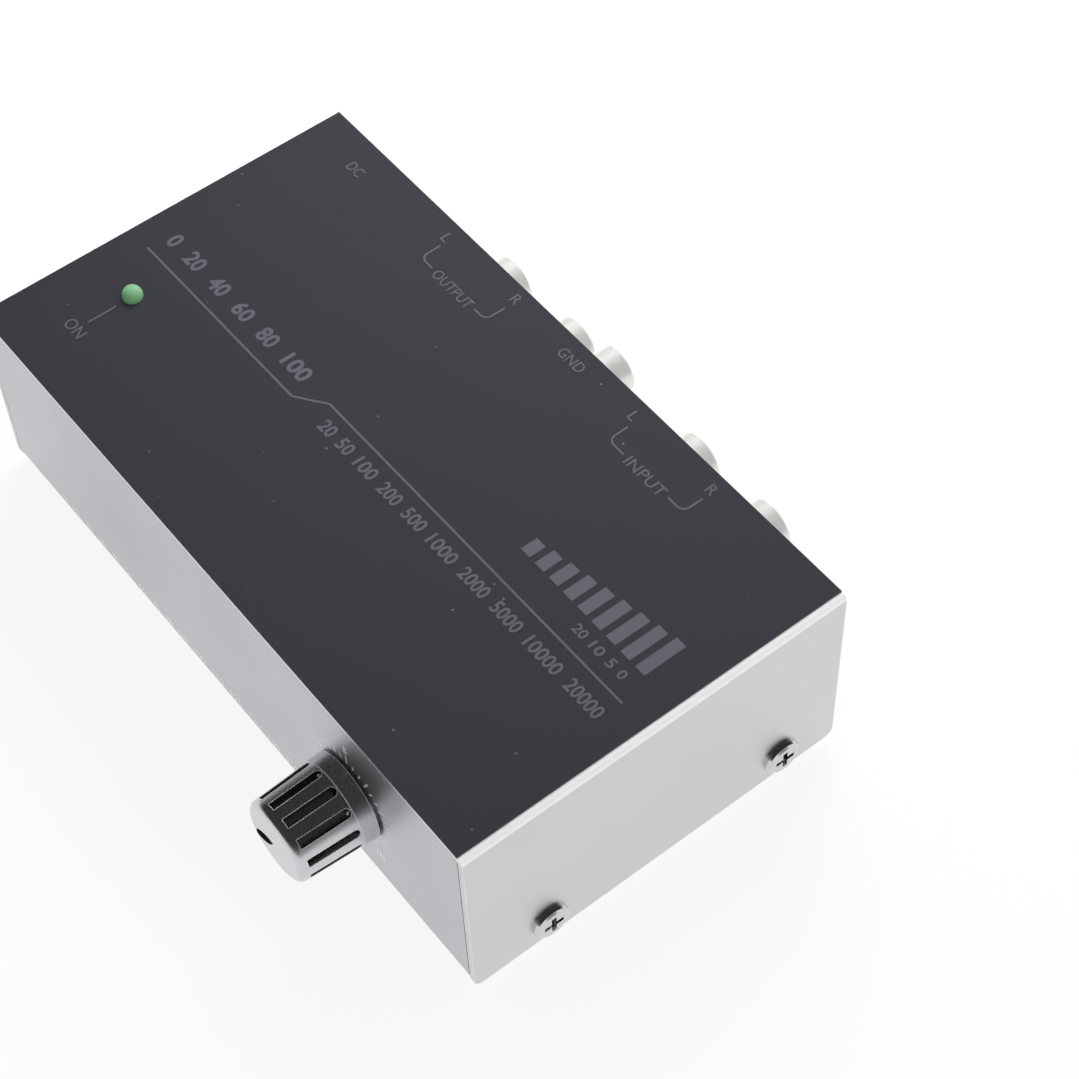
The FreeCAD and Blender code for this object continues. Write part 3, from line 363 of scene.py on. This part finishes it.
def paint_fold_highlights(material):
    """Painted highlights: a pale band along the two upper folds, and a thin pale line on the front cut edge.
    """
    tree = material.node_tree
    x, y, z = split_xyz(tree, object_place(tree))
    near_side = step_mask(tree, math_node(tree, "ABSOLUTE", x), RIGHT - SIDE_HIGHLIGHT_BAND[0], RIGHT - SIDE_HIGHLIGHT_BAND[1])
    near_top = step_mask(tree, z, TOP - TOP_HIGHLIGHT_BAND[0], TOP - TOP_HIGHLIGHT_BAND[1])
    fold_highlight = math_node(tree, "MULTIPLY", near_side, near_top)
    near_front = step_mask(tree, y, FRONT + LIP_HIGHLIGHT_FRONT[0], FRONT + LIP_HIGHLIGHT_FRONT[1])
    upper = step_mask(tree, z, TOP - LIP_HIGHLIGHT_TOP[0], TOP - LIP_HIGHLIGHT_TOP[1])
    lip_highlight = math_node(tree, "MULTIPLY", math_node(tree, "MULTIPLY", near_front, upper), LIP_HIGHLIGHT_SHARE)
    # The folds and the front cut edge get a near white here: painted highlights.
    lay_over(material, math_node(tree, "MAXIMUM", fold_highlight, lip_highlight), grey(0.97), metal=0.25)


# Paints highlights along the cover's upper folds and its front cut edge.
paint_fold_highlights(cover_silver)
print("case dressed")

# %% [markdown]
# ## Knob, screws and jacks
# The knob is satin gunmetal, the screws are bright chrome, and the jacks are nickel with white and
# red insulators.

# %% Metal trim finishes
knob_metal = finish("knob_metal", grey(0.62, 0.04), metallic=1.0, rough=(0.22, 0.3), scale=3000.0, bump=0.005)
chrome = finish("chrome_screw", grey(0.62), metallic=1.0, rough=(0.07, 0.12), scale=2000.0, bump=0.004,
                worn=grey(0.95), wear=0.6)
nickel = finish("nickel", (0.80, 0.79, 0.76, 1), metallic=1.0, rough=(0.2, 0.3), scale=2000.0, bump=0.008)
dull_nickel = finish("dull_nickel", (0.88, 0.87, 0.84, 1), metallic=0.5, rough=(0.33, 0.37), scale=2000.0,
                     bump=0.002, worn=grey(0.85), wear=0.6)
brass = finish("brass_contact", (0.78, 0.6, 0.3, 1), metallic=1.0, rough=(0.25, 0.35), scale=1500.0)
dress(knob_metal, "volume_knob")
dress(chrome, "cover_screws", "board_screws")
dress(nickel, "board_standoffs", "ground_stud", "ground_inner_nut",
      "pot_bushing", "pot_washer", "pot_nut", "pot_shaft")
dress(brass, "dc_jack_pin", "dc_jack_spring", "ground_lug", "pot_wiper", "pot_terminals", "led_leads")
dress(dull_nickel, "ground_washer", "ground_thumb_nut")
for pair in ("output", "input"):
    for side in ("left", "right"):
        dress(dull_nickel, f"{pair}_{side}_barrel")
        dress(brass, f"{pair}_{side}_contact")
print("metal trim dressed")

# %% [markdown]
# ## Flutes and pointer of the knob
# The flutes are given painted shade, darker than the ribs, and the edges round them get pale painted
# highlights. The pointer is a shallow lens-shaped dent that is coloured dark inside. Each mask is worked
# out from the knob's own axes, so the colours turn with the knob.

# %% Knob axes
KNOB_GAP = 0.4 * MM
KNOB_BASE = FRONT - KNOB_GAP
KNOB_LENGTH = KNOB_BASE - knob_low[1]


def vector_math(tree, operation, first, second=(0, 0, 0)):
    """One vector math node between a socket and a plain vector."""
    node = add_node(tree, "ShaderNodeVectorMath", operation=operation)
    join(tree, first, node.inputs[0])
    node.inputs[1].default_value = second
    return node.outputs


tree = knob_metal.node_tree
local = vector_math(tree, "SUBTRACT", object_place(tree), (KNOB_X, KNOB_BASE, KNOB_Z))[0]
along = math_node(tree, "MULTIPLY", split_xyz(tree, local)["Y"], -1.0)
flat = vector_math(tree, "MULTIPLY", local, (1, 0, 1))[0]
radius = vector_math(tree, "LENGTH", flat)["Value"]
print("knob length in mm:", round(KNOB_LENGTH / MM, 2))

# %% Flute shade and rib edge highlights
FLUTES_FROM, FLUTES_TO = 2.4 * MM, 10.25 * MM
RIB_LOW, RIB_HIGH = 6.33 * MM, 5.95 * MM
SOFT = 0.05 * MM
SUNK_FROM, SUNK_FULL, FLUTE_SHADE_SHARE = 0.12 * MM, 0.3 * MM, 0.6
RIB_HIGHLIGHT_WIDTH, RIB_HIGHLIGHT_AMOUNT, RIB_HIGHLIGHT_SHARE = 0.2 * MM, 2.6, 0.9

rib = add_node(tree, "ShaderNodeMapRange")
rib.inputs["From Min"].default_value, rib.inputs["From Max"].default_value = FLUTES_FROM, FLUTES_TO
rib.inputs["To Min"].default_value, rib.inputs["To Max"].default_value = RIB_LOW, RIB_HIGH
join(tree, along, rib.inputs["Value"])
depth = math_node(tree, "SUBTRACT", rib.outputs["Result"], radius)
sunk = step_mask(tree, depth, SUNK_FROM, SUNK_FULL)
past_start = step_mask(tree, along, FLUTES_FROM - SOFT, FLUTES_FROM)
before_end = step_mask(tree, along, FLUTES_TO + SOFT, FLUTES_TO)
flute_shade_mask = math_node(tree, "MULTIPLY", sunk, math_node(tree, "MULTIPLY", past_start, before_end))
# Painted shade: the sunk flutes are mixed towards a dark grey.
lay_over(knob_metal, math_node(tree, "MULTIPLY", flute_shade_mask, FLUTE_SHADE_SHARE), grey(0.12), metal=1.0)

# Painted highlights: the sharp rib edges outside the flutes are mixed towards a pale grey.
rib_highlight_mask = add_node(tree, "ShaderNodeGroup")
rib_highlight_mask.node_tree = wear_and_highlight_group
rib_highlight_mask.inputs["Width"].default_value = RIB_HIGHLIGHT_WIDTH
rib_highlight_mask.inputs["Amount"].default_value = RIB_HIGHLIGHT_AMOUNT
raised = math_node(tree, "SUBTRACT", 1.0, sunk)
edges = math_node(tree, "MULTIPLY", raised, math_node(tree, "MULTIPLY", rib_highlight_mask.outputs["Mask"], RIB_HIGHLIGHT_SHARE))
lay_over(knob_metal, edges, grey(0.9), metal=0.2)
print("flutes and edges painted")

# %% Pointer, dark inside
POINTER_ANGLE = radians(210.0)
POINTER_FROM, POINTER_TO, POINTER_HALF_WIDTH = 0.3 * MM, 5.6 * MM, 0.95 * MM
POINTER_EDGE, DENT_FROM, DENT_FULL, DENT_DEPTH = 0.03 * MM, 0.02 * MM, 0.06 * MM, 0.6 * MM
POINTER_MIDDLE, POINTER_HALF_LENGTH = (POINTER_FROM + POINTER_TO) / 2, (POINTER_TO - POINTER_FROM) / 2

ahead = vector_math(tree, "DOT_PRODUCT", local, (cos(POINTER_ANGLE), 0, sin(POINTER_ANGLE)))["Value"]
aside = vector_math(tree, "DOT_PRODUCT", local, (-sin(POINTER_ANGLE), 0, cos(POINTER_ANGLE)))["Value"]
reach = math_node(tree, "DIVIDE", math_node(tree, "SUBTRACT", ahead, POINTER_MIDDLE), POINTER_HALF_LENGTH)
bow = math_node(tree, "SUBTRACT", 1.0, math_node(tree, "MULTIPLY", reach, reach))
limit = math_node(tree, "ADD", math_node(tree, "MULTIPLY", bow, POINTER_HALF_WIDTH), POINTER_EDGE)
inside = math_node(tree, "LESS_THAN", math_node(tree, "ABSOLUTE", aside), limit)
below = math_node(tree, "SUBTRACT", KNOB_LENGTH, along)
under_face = step_mask(tree, below, DENT_FROM, DENT_FULL)
dent = math_node(tree, "MULTIPLY", under_face, math_node(tree, "LESS_THAN", below, DENT_DEPTH))
# Colours the inside of the pointer's dent near black.
lay_over(knob_metal, math_node(tree, "MULTIPLY", dent, inside), grey(0.03))
print("pointer painted")

# %% [markdown]
# ## Plastics and rubber
# Plastic is not metal: its colour comes from below a thin clear skin. Each moulding gets a fine
# grain, and the feet are the roughest.

# %% Plastic finishes
black_plastic = finish("black_plastic", grey(0.018), rough=(0.35, 0.5), scale=1800.0, bump=0.02)
white_insulator = finish("white_insulator", (0.78, 0.77, 0.73, 1), rough=(0.3, 0.4), scale=1500.0)
red_insulator = finish("red_insulator", (0.5, 0.02, 0.015, 1), rough=(0.3, 0.4), scale=1500.0)
rubber = finish("foot_rubber", grey(0.016), rough=(0.65, 0.85), scale=1400.0, bump=0.05, dust=0.2)
board_green = finish("board_green", (0.012, 0.11, 0.035, 1), rough=(0.25, 0.35), scale=900.0, coat=0.3)
can_sleeve = finish("can_sleeve", (0.012, 0.02, 0.07, 1), rough=(0.25, 0.35), scale=900.0)
film_block = finish("film_block", (0.35, 0.05, 0.02, 1), rough=(0.3, 0.4), scale=900.0)
resistor_body = finish("resistor_body", (0.12, 0.3, 0.45, 1), rough=(0.35, 0.45), scale=900.0)
track_board = finish("track_board", (0.2, 0.1, 0.04, 1), rough=(0.4, 0.5), scale=900.0)
wire_cover = finish("wire_cover", (0.03, 0.22, 0.03, 1), rough=(0.3, 0.4), scale=900.0)
dress(black_plastic, "output_jack_block", "input_jack_block", "dc_jack_housing", "pot_housing",
      "input_amp_chip", "output_amp_chip", "voltage_regulator", "protection_diode", "led_spacer")
dress(white_insulator, "output_left_insulator", "input_left_insulator")
dress(red_insulator, "output_right_insulator", "input_right_insulator")
dress(rubber, "foot_front_left", "foot_front_right", "foot_rear_left", "foot_rear_right")
dress(board_green, "circuit_board")
dress(can_sleeve, "supply_capacitors", "coupling_capacitors")
dress(film_block, "equaliser_capacitors")
dress(resistor_body, "resistors")
dress(track_board, "pot_track")
dress(wire_cover, "ground_wire")
print("plastics dressed")

# %% [markdown]
# ## The lamp
# The lamp is a dome of cloudy green resin under a glossy skin. A little light of its own keeps it
# from looking dead.

# %% Lamp finish
lamp_green = finish("lamp_green", (0.19, 0.38, 0.2, 1), rough=(0.18, 0.26), scale=700.0, bump=0.004,
                    coat=0.6, coat_rough=0.08)
lamp_shader = lamp_green.node_tree.nodes["Principled BSDF"]
lamp_shader.inputs["Subsurface Weight"].default_value = 0.4
lamp_shader.inputs["Subsurface Radius"].default_value = (0.3, 1.0, 0.4)
lamp_shader.inputs["Subsurface Scale"].default_value = 1.2 * MM
lamp_shader.inputs["Emission Color"].default_value = (0.2, 0.8, 0.3, 1)
lamp_shader.inputs["Emission Strength"].default_value = 0.05
dress(lamp_green, "status_led")
print("lamp dressed")

# %% [markdown]
# ## Print
# The lettering and lines are a thin layer of ink. Real ink has a thickness, so each mark is a flat
# mesh a hundredth of a millimetre thick that lies on its panel.

# %% Ink materials
grey_ink = finish("grey_ink", grey(0.085, 0.2), rough=(0.4, 0.5), scale=3000.0, bump=0.004)
white_ink = finish("white_ink", grey(0.97), metallic=0.5, rough=(0.4, 0.5), scale=3000.0, bump=0.004)
INK = 0.012 * MM
print("ink in mm:", INK / MM)


# %% Helpers for print
def to_piece(builder, name, material):
    """An object of one material from a mesh builder."""
    mesh = bpy.data.meshes.new(name)
    builder.to_mesh(mesh)
    builder.free()
    piece = bpy.data.objects.new(name, mesh)
    mesh.materials.append(material)
    scene.collection.objects.link(piece)
    return piece


def ink_mesh(name, outlines, material):
    """Flat closed outlines in X and Y, given the thickness of ink."""
    builder = bmesh.new()
    for outline in outlines:
        builder.faces.new([builder.verts.new((x, y, 0.0)) for x, y in outline])
    bmesh.ops.recalc_face_normals(builder, faces=builder.faces)
    for face in builder.faces:
        face.normal_update()
        if face.normal.z < 0:
            face.normal_flip()
    lifted = bmesh.ops.extrude_face_region(builder, geom=list(builder.faces))
    top = [item for item in lifted["geom"] if isinstance(item, bmesh.types.BMVert)]
    bmesh.ops.translate(builder, verts=top, vec=(0, 0, INK))
    bmesh.ops.recalc_face_normals(builder, faces=builder.faces)
    return to_piece(builder, name, material)


def ribbon(points, width):
    """The outline of a line of even width through some points, mitred at its corners."""
    path = [Vector(point) for point in points]
    left, right = [], []
    for index, here in enumerate(path):
        before = (here - path[index - 1]).normalized() if index else None
        after = (path[index + 1] - here).normalized() if index + 1 < len(path) else None
        ahead = ((before or after) + (after or before)).normalized()
        across = Vector((-ahead.y, ahead.x))
        lean = across.dot(Vector((-(after or before).y, (after or before).x)))
        reach = width / 2 / max(lean, 0.4)
        left.append(tuple(here + across * reach))
        right.append(tuple(here - across * reach))
    return left + right[::-1]


def lettering(name, words, spots, material, weight=0.0):
    """Words as one thin mesh: each spot is a word's middle, its width and its height."""
    pieces = []
    for word, (middle_x, middle_y, width, height) in zip(words, spots):
        curve = bpy.data.curves.new(name, "FONT")
        curve.body = word
        curve.align_x, curve.align_y = "LEFT", "BOTTOM_BASELINE"
        curve.resolution_u = 3
        curve.extrude = INK
        curve.offset = weight
        text = bpy.data.objects.new(name, curve)
        scene.collection.objects.link(text)
        bpy.context.view_layer.update()
        shape = bpy.data.meshes.new_from_object(text)
        bpy.data.objects.remove(text)
        bpy.data.curves.remove(curve)
        xs = [vertex.co.x for vertex in shape.vertices]
        ys = [vertex.co.y for vertex in shape.vertices]
        grow_x, shape_x = width / (max(xs) - min(xs)), (min(xs) + max(xs)) / 2
        grow_y, shape_y = height / (max(ys) - min(ys)), (min(ys) + max(ys)) / 2
        for vertex in shape.vertices:
            vertex.co.x = (vertex.co.x - shape_x) * grow_x + middle_x
            vertex.co.y = (vertex.co.y - shape_y) * grow_y + middle_y
            vertex.co.z = INK if vertex.co.z > 0 else 0.0
        pieces.append(shape)
    builder = bmesh.new()
    for shape in pieces:
        builder.from_mesh(shape)
        bpy.data.meshes.remove(shape)
    bmesh.ops.remove_doubles(builder, verts=builder.verts, dist=1e-7)
    return to_piece(builder, name, material)


def lay_on_top(piece):
    """Move print drawn from the case's front left corner onto the dark top."""
    for vertex in piece.data.vertices:
        vertex.co += Vector((LEFT, FRONT, TOP))
    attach(piece, "root")


def stand_on_front(piece):
    """Turn print drawn in X and height so that it faces forwards, and move it onto the front panel."""
    for vertex in piece.data.vertices:
        across, up, lift = vertex.co
        vertex.co = Vector((across + LEFT, FRONT - lift, up + FOOT))
    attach(piece, "root")


def in_mm(points):
    """Points given in millimetres, in metres."""
    return [(x * MM, y * MM) for x, y in points]


def number_row(numbers, left, right, middle, height, digit):
    """Spread numbers evenly between two ends; each is as wide as its digits."""
    widths = [len(number) * digit for number in numbers]
    gap = (right - left - sum(widths)) / (len(numbers) - 1)
    spots, edge = [], left
    for width in widths:
        spots.append(((edge + width * 0.5) * MM, middle * MM, width * 0.92 * MM, height * MM))
        edge += width + gap
    return spots


print("print helpers ready")

# %% [markdown]
# ## Lines on the top
# One long rule crosses the top and steps to the rear where its two halves meet. Brackets gather the
# two jacks of each pair, and a short leader ties the lamp to its word. A row of bars, each
# taller than the last, stands for the signal level near the right end.

# %% Rules, brackets and level bars
RULE_WIDTH, THIN_WIDTH = 0.32 * MM, 0.26 * MM
CORNER, CORNER_STEPS = 1.1, 4
JACK_LETTERS, RAIL = 55.8, 52.5


def bracket(left_x, right_x, gap):
    """Two hooks from a rail to the jacks' letters, with a gap in the rail for the word."""
    hooks = []
    for x, sign, stop in ((left_x, 1, gap[0]), (right_x, -1, gap[1])):
        turns = [step * pi / 2 / CORNER_STEPS for step in range(CORNER_STEPS + 1)]
        arc = [(x + sign * CORNER * (1 - cos(turn)), RAIL + CORNER * (1 - sin(turn))) for turn in turns]
        hooks.append(ribbon(in_mm([(x, JACK_LETTERS)] + arc + [(stop, RAIL)]), THIN_WIDTH))
    return hooks


rule = ribbon(in_mm([(5.4, 24.3), (39.9, 24.7), (44.2, 27.8), (104.6, 28.4)]), RULE_WIDTH)
leader = ribbon(in_mm([(11.77, 15.1), (11.77, 10.6)]), THIN_WIDTH)
marks = [rule, leader]
marks += bracket(31.0, 45.6, (33.6, 43.2))
marks += bracket(72.0, 87.1, (75.2, 84.2))
lay_on_top(ink_mesh("top_rules", marks, grey_ink))

BAR_COUNT, BAR_LEFT, BAR_FOOT, BAR_STEP, BAR_WIDTH = 9, 78.6, 33.0, 2.85, 1.8
BAR_LOWEST, BAR_RISE = 2.6, 0.51
bars = []
for step in range(BAR_COUNT):
    left, tall = BAR_LEFT + BAR_STEP * step, BAR_LOWEST + BAR_RISE * step
    right, head = left + BAR_WIDTH, BAR_FOOT + tall
    bars.append(in_mm([(left, BAR_FOOT), (right, BAR_FOOT), (right, head), (left, head)]))
lay_on_top(ink_mesh("level_bars", bars, grey_ink))
print("marks on the top:", len(marks) + len(bars))

# %% [markdown]
# ## Words on the top
# The words are plain ones that any such box carries. Plain numbers run along the rule: even steps
# at the left, and the steps of a frequency scale at the right.

# %% Lettering on the top
words = ["ON", "GND", "OUTPUT", "INPUT", "L", "R", "L", "R", "DC"]
spots = [(11.55, 8.7, 3.6, 1.9), (58.5, 57.1, 4.7, 1.7), (38.4, 52.4, 8.0, 1.7), (79.7, 52.4, 7.4, 1.7),
         (30.4, 57.4, 1.1, 1.7), (45.4, 57.9, 1.3, 1.7), (71.1, 57.5, 1.1, 1.7), (86.8, 57.6, 1.3, 1.7),
         (11.8, 55.2, 2.8, 1.7)]
spots = [tuple(value * MM for value in spot) for spot in spots]
lay_on_top(lettering("top_words", words, spots, grey_ink))

evens = [str(20 * step) for step in range(6)]
steps = ["20", "50", "100", "200", "500", "1000", "2000", "5000", "10000", "20000"]
levels = ["20", "10", "5", "0"]
lay_on_top(lettering("top_tens", evens, number_row(evens, 6.0, 39.0, 28.0, 2.6, 1.8), grey_ink, 0.03))
lay_on_top(lettering("top_steps", steps, number_row(steps, 46.0, 104.6, 25.25, 2.1, 1.38), grey_ink, 0.02))
lay_on_top(lettering("top_levels", levels, number_row(levels, 92.0, 102.0, 31.0, 1.5, 1.2), grey_ink, 0.02))
print("words on the top:", len(words) + len(evens) + len(steps) + len(levels))

# %% [markdown]
# ## The dial round the knob
# White ticks radiate from the knob, with plain numbers at the ends and the middle of its travel.
# A small row of white numbers runs along the foot of the front panel.

# %% Dial marks and numbers
DIAL_FIRST, DIAL_LAST, DIAL_STEPS = 240.0, -60.0, 30
TICK_FROM, TICK_SHORT, TICK_LONG, TICK_WIDTH, NUMBERS_AT = 7.0, 8.1, 8.9, 0.3 * MM, 10.2
WIDE_NUMBER, NARROW_NUMBER, NUMBER_HEIGHT = 1.7 * MM, 0.9 * MM, 1.4 * MM
dial_middle = ((KNOB_X - LEFT) / MM, (KNOB_Z - FOOT) / MM)


def on_dial(radius, angle):
    """A point on a circle round the knob, in millimetres from the case's lower left corner."""
    turn = radians(angle)
    return (dial_middle[0] + radius * cos(turn), dial_middle[1] + radius * sin(turn))


ticks, numbers, number_spots = [], [], []
for step in range(DIAL_STEPS + 1):
    angle = DIAL_FIRST + (DIAL_LAST - DIAL_FIRST) * step / DIAL_STEPS
    outer = TICK_LONG if step % 3 == 0 else TICK_SHORT
    ticks.append(ribbon(in_mm([on_dial(TICK_FROM, angle), on_dial(outer, angle)]), TICK_WIDTH))
    if step % 15 == 0:
        x, z = on_dial(NUMBERS_AT, angle)
        numbers.append(str(step // 3))
        wide = WIDE_NUMBER if step == DIAL_STEPS else NARROW_NUMBER
        number_spots.append((x * MM, z * MM, wide, NUMBER_HEIGHT))
stand_on_front(ink_mesh("dial_ticks", ticks, white_ink))
stand_on_front(lettering("dial_numbers", numbers, number_spots, white_ink, 0.02))
front_row = [str(10 * step) for step in range(16)]
stand_on_front(lettering("front_numbers", front_row, number_row(front_row, 13.0, 72.0, 3.0, 1.5, 1.0),
                         white_ink, 0.02))
print("dial ticks:", len(ticks))

# %% [markdown]
# ## Floor and background
# The object stands on a pale floor. Rays from the camera and reflections see a plain white floor,
# while the floor still takes the object's soft shadow.

# %% Floor
FLOOR_HALF, FLOOR_DROP, PLAIN_SHARE = 1.5, 0.02 * MM, 0.9
floor_mesh = bpy.data.meshes.new("floor")
floor_corners = [(x * FLOOR_HALF, y * FLOOR_HALF, 0) for x, y in ((-1, -1), (1, -1), (1, 1), (-1, 1))]
floor_mesh.from_pydata(floor_corners, [], [(0, 1, 2, 3)])
floor = bpy.data.objects.new("floor", floor_mesh)
floor.location.z = -FLOOR_DROP
scene.collection.objects.link(floor)

floor_paint = bpy.data.materials.new("floor_paint")
floor_paint.use_nodes = True
tree = floor_paint.node_tree
tree.nodes.clear()
rays = add_node(tree, "ShaderNodeLightPath")
seen = math_node(tree, "ADD", rays.outputs["Is Camera Ray"], rays.outputs["Is Glossy Ray"], clamp=True)
seen = math_node(tree, "ADD", seen, rays.outputs["Is Transmission Ray"], clamp=True)
share = math_node(tree, "MULTIPLY", seen, PLAIN_SHARE)
matte = add_node(tree, "ShaderNodeBsdfDiffuse")
matte.inputs["Color"].default_value = grey(0.85)
glow = add_node(tree, "ShaderNodeEmission")
glow.inputs["Color"].default_value = grey(0.985)
mix = add_node(tree, "ShaderNodeMixShader")
join(tree, share, mix.inputs[0])
join(tree, matte.outputs[0], mix.inputs[1])
join(tree, glow.outputs[0], mix.inputs[2])
out = add_node(tree, "ShaderNodeOutputMaterial")
join(tree, mix.outputs[0], out.inputs["Surface"])
floor_mesh.materials.append(floor_paint)
print("floor laid")

# %% [markdown]
# ## The room
# Satin metal shows its room. The room here is dark above the horizon and pale below it, which
# gives the knob and the screws their dark upper sides and light lower sides.

# %% World
LEFT_LEAN, CLIMB, HORIZON = -0.1, 0.9, 0.35
world = bpy.data.worlds.new("room")
world.use_nodes = True
scene.world = world
tree = world.node_tree
tree.nodes.clear()
direction = add_node(tree, "ShaderNodeTexCoord")
toward = split_xyz(tree, direction.outputs["Generated"])
leftward = math_node(tree, "MULTIPLY", toward["X"], LEFT_LEAN)
upward = math_node(tree, "ADD", math_node(tree, "MULTIPLY", toward["Z"], CLIMB), HORIZON)
climb = add_node(tree, "ShaderNodeValToRGB")
ramp = climb.color_ramp
ramp.elements[0].position, ramp.elements[0].color = 0.1, grey(1.0)
ramp.elements[1].position, ramp.elements[1].color = 0.62, grey(0.035)
middle = ramp.elements.new(0.34)
middle.color = grey(0.3)
join(tree, math_node(tree, "ADD", leftward, upward), climb.inputs["Fac"])
sky, soft, white = (add_node(tree, "ShaderNodeBackground") for part in range(3))
join(tree, climb.outputs["Color"], sky.inputs["Color"])
soft.inputs["Color"].default_value = grey(0.5)
white.inputs["Color"].default_value = grey(1.0)
rays = add_node(tree, "ShaderNodeLightPath")
by_gloss = add_node(tree, "ShaderNodeMixShader")
join(tree, rays.outputs["Is Glossy Ray"], by_gloss.inputs[0])
join(tree, soft.outputs[0], by_gloss.inputs[1])
join(tree, sky.outputs[0], by_gloss.inputs[2])
by_camera = add_node(tree, "ShaderNodeMixShader")
join(tree, rays.outputs["Is Camera Ray"], by_camera.inputs[0])
join(tree, by_gloss.outputs[0], by_camera.inputs[1])
join(tree, white.outputs[0], by_camera.inputs[2])
out = add_node(tree, "ShaderNodeOutputWorld")
join(tree, by_camera.outputs[0], out.inputs["Surface"])
print("room ready")

# %% [markdown]
# ## Lamps
# Soft lamps light what isn't metal. The main one stands close behind the left end, so the dark top
# grows darker towards the near corner. Metal doesn't show the lamps, only the room.


# %% Soft lamps
def soft_lamp(name, place, aim, size, power):
    """A rectangular lamp that points at a place and doesn't show in metal."""
    lamp = bpy.data.objects.new(name, bpy.data.lights.new(name, "AREA"))
    lamp.data.shape = "RECTANGLE"
    lamp.data.size, lamp.data.size_y = size
    lamp.data.energy = power
    lamp.location = Vector(place)
    lamp.rotation_euler = (Vector(aim) - Vector(place)).to_track_quat("-Z", "Y").to_euler()
    lamp.visible_glossy = False
    scene.collection.objects.link(lamp)


soft_lamp("rear_left_lamp", (-0.17, 0.2, 0.26), (-0.02, 0.02, 0.03), (0.25, 0.25), 1.7)
soft_lamp("right_lamp", (0.8, 0.2, 0.5), (0, 0, 0.02), (0.7, 0.4), 3.0)
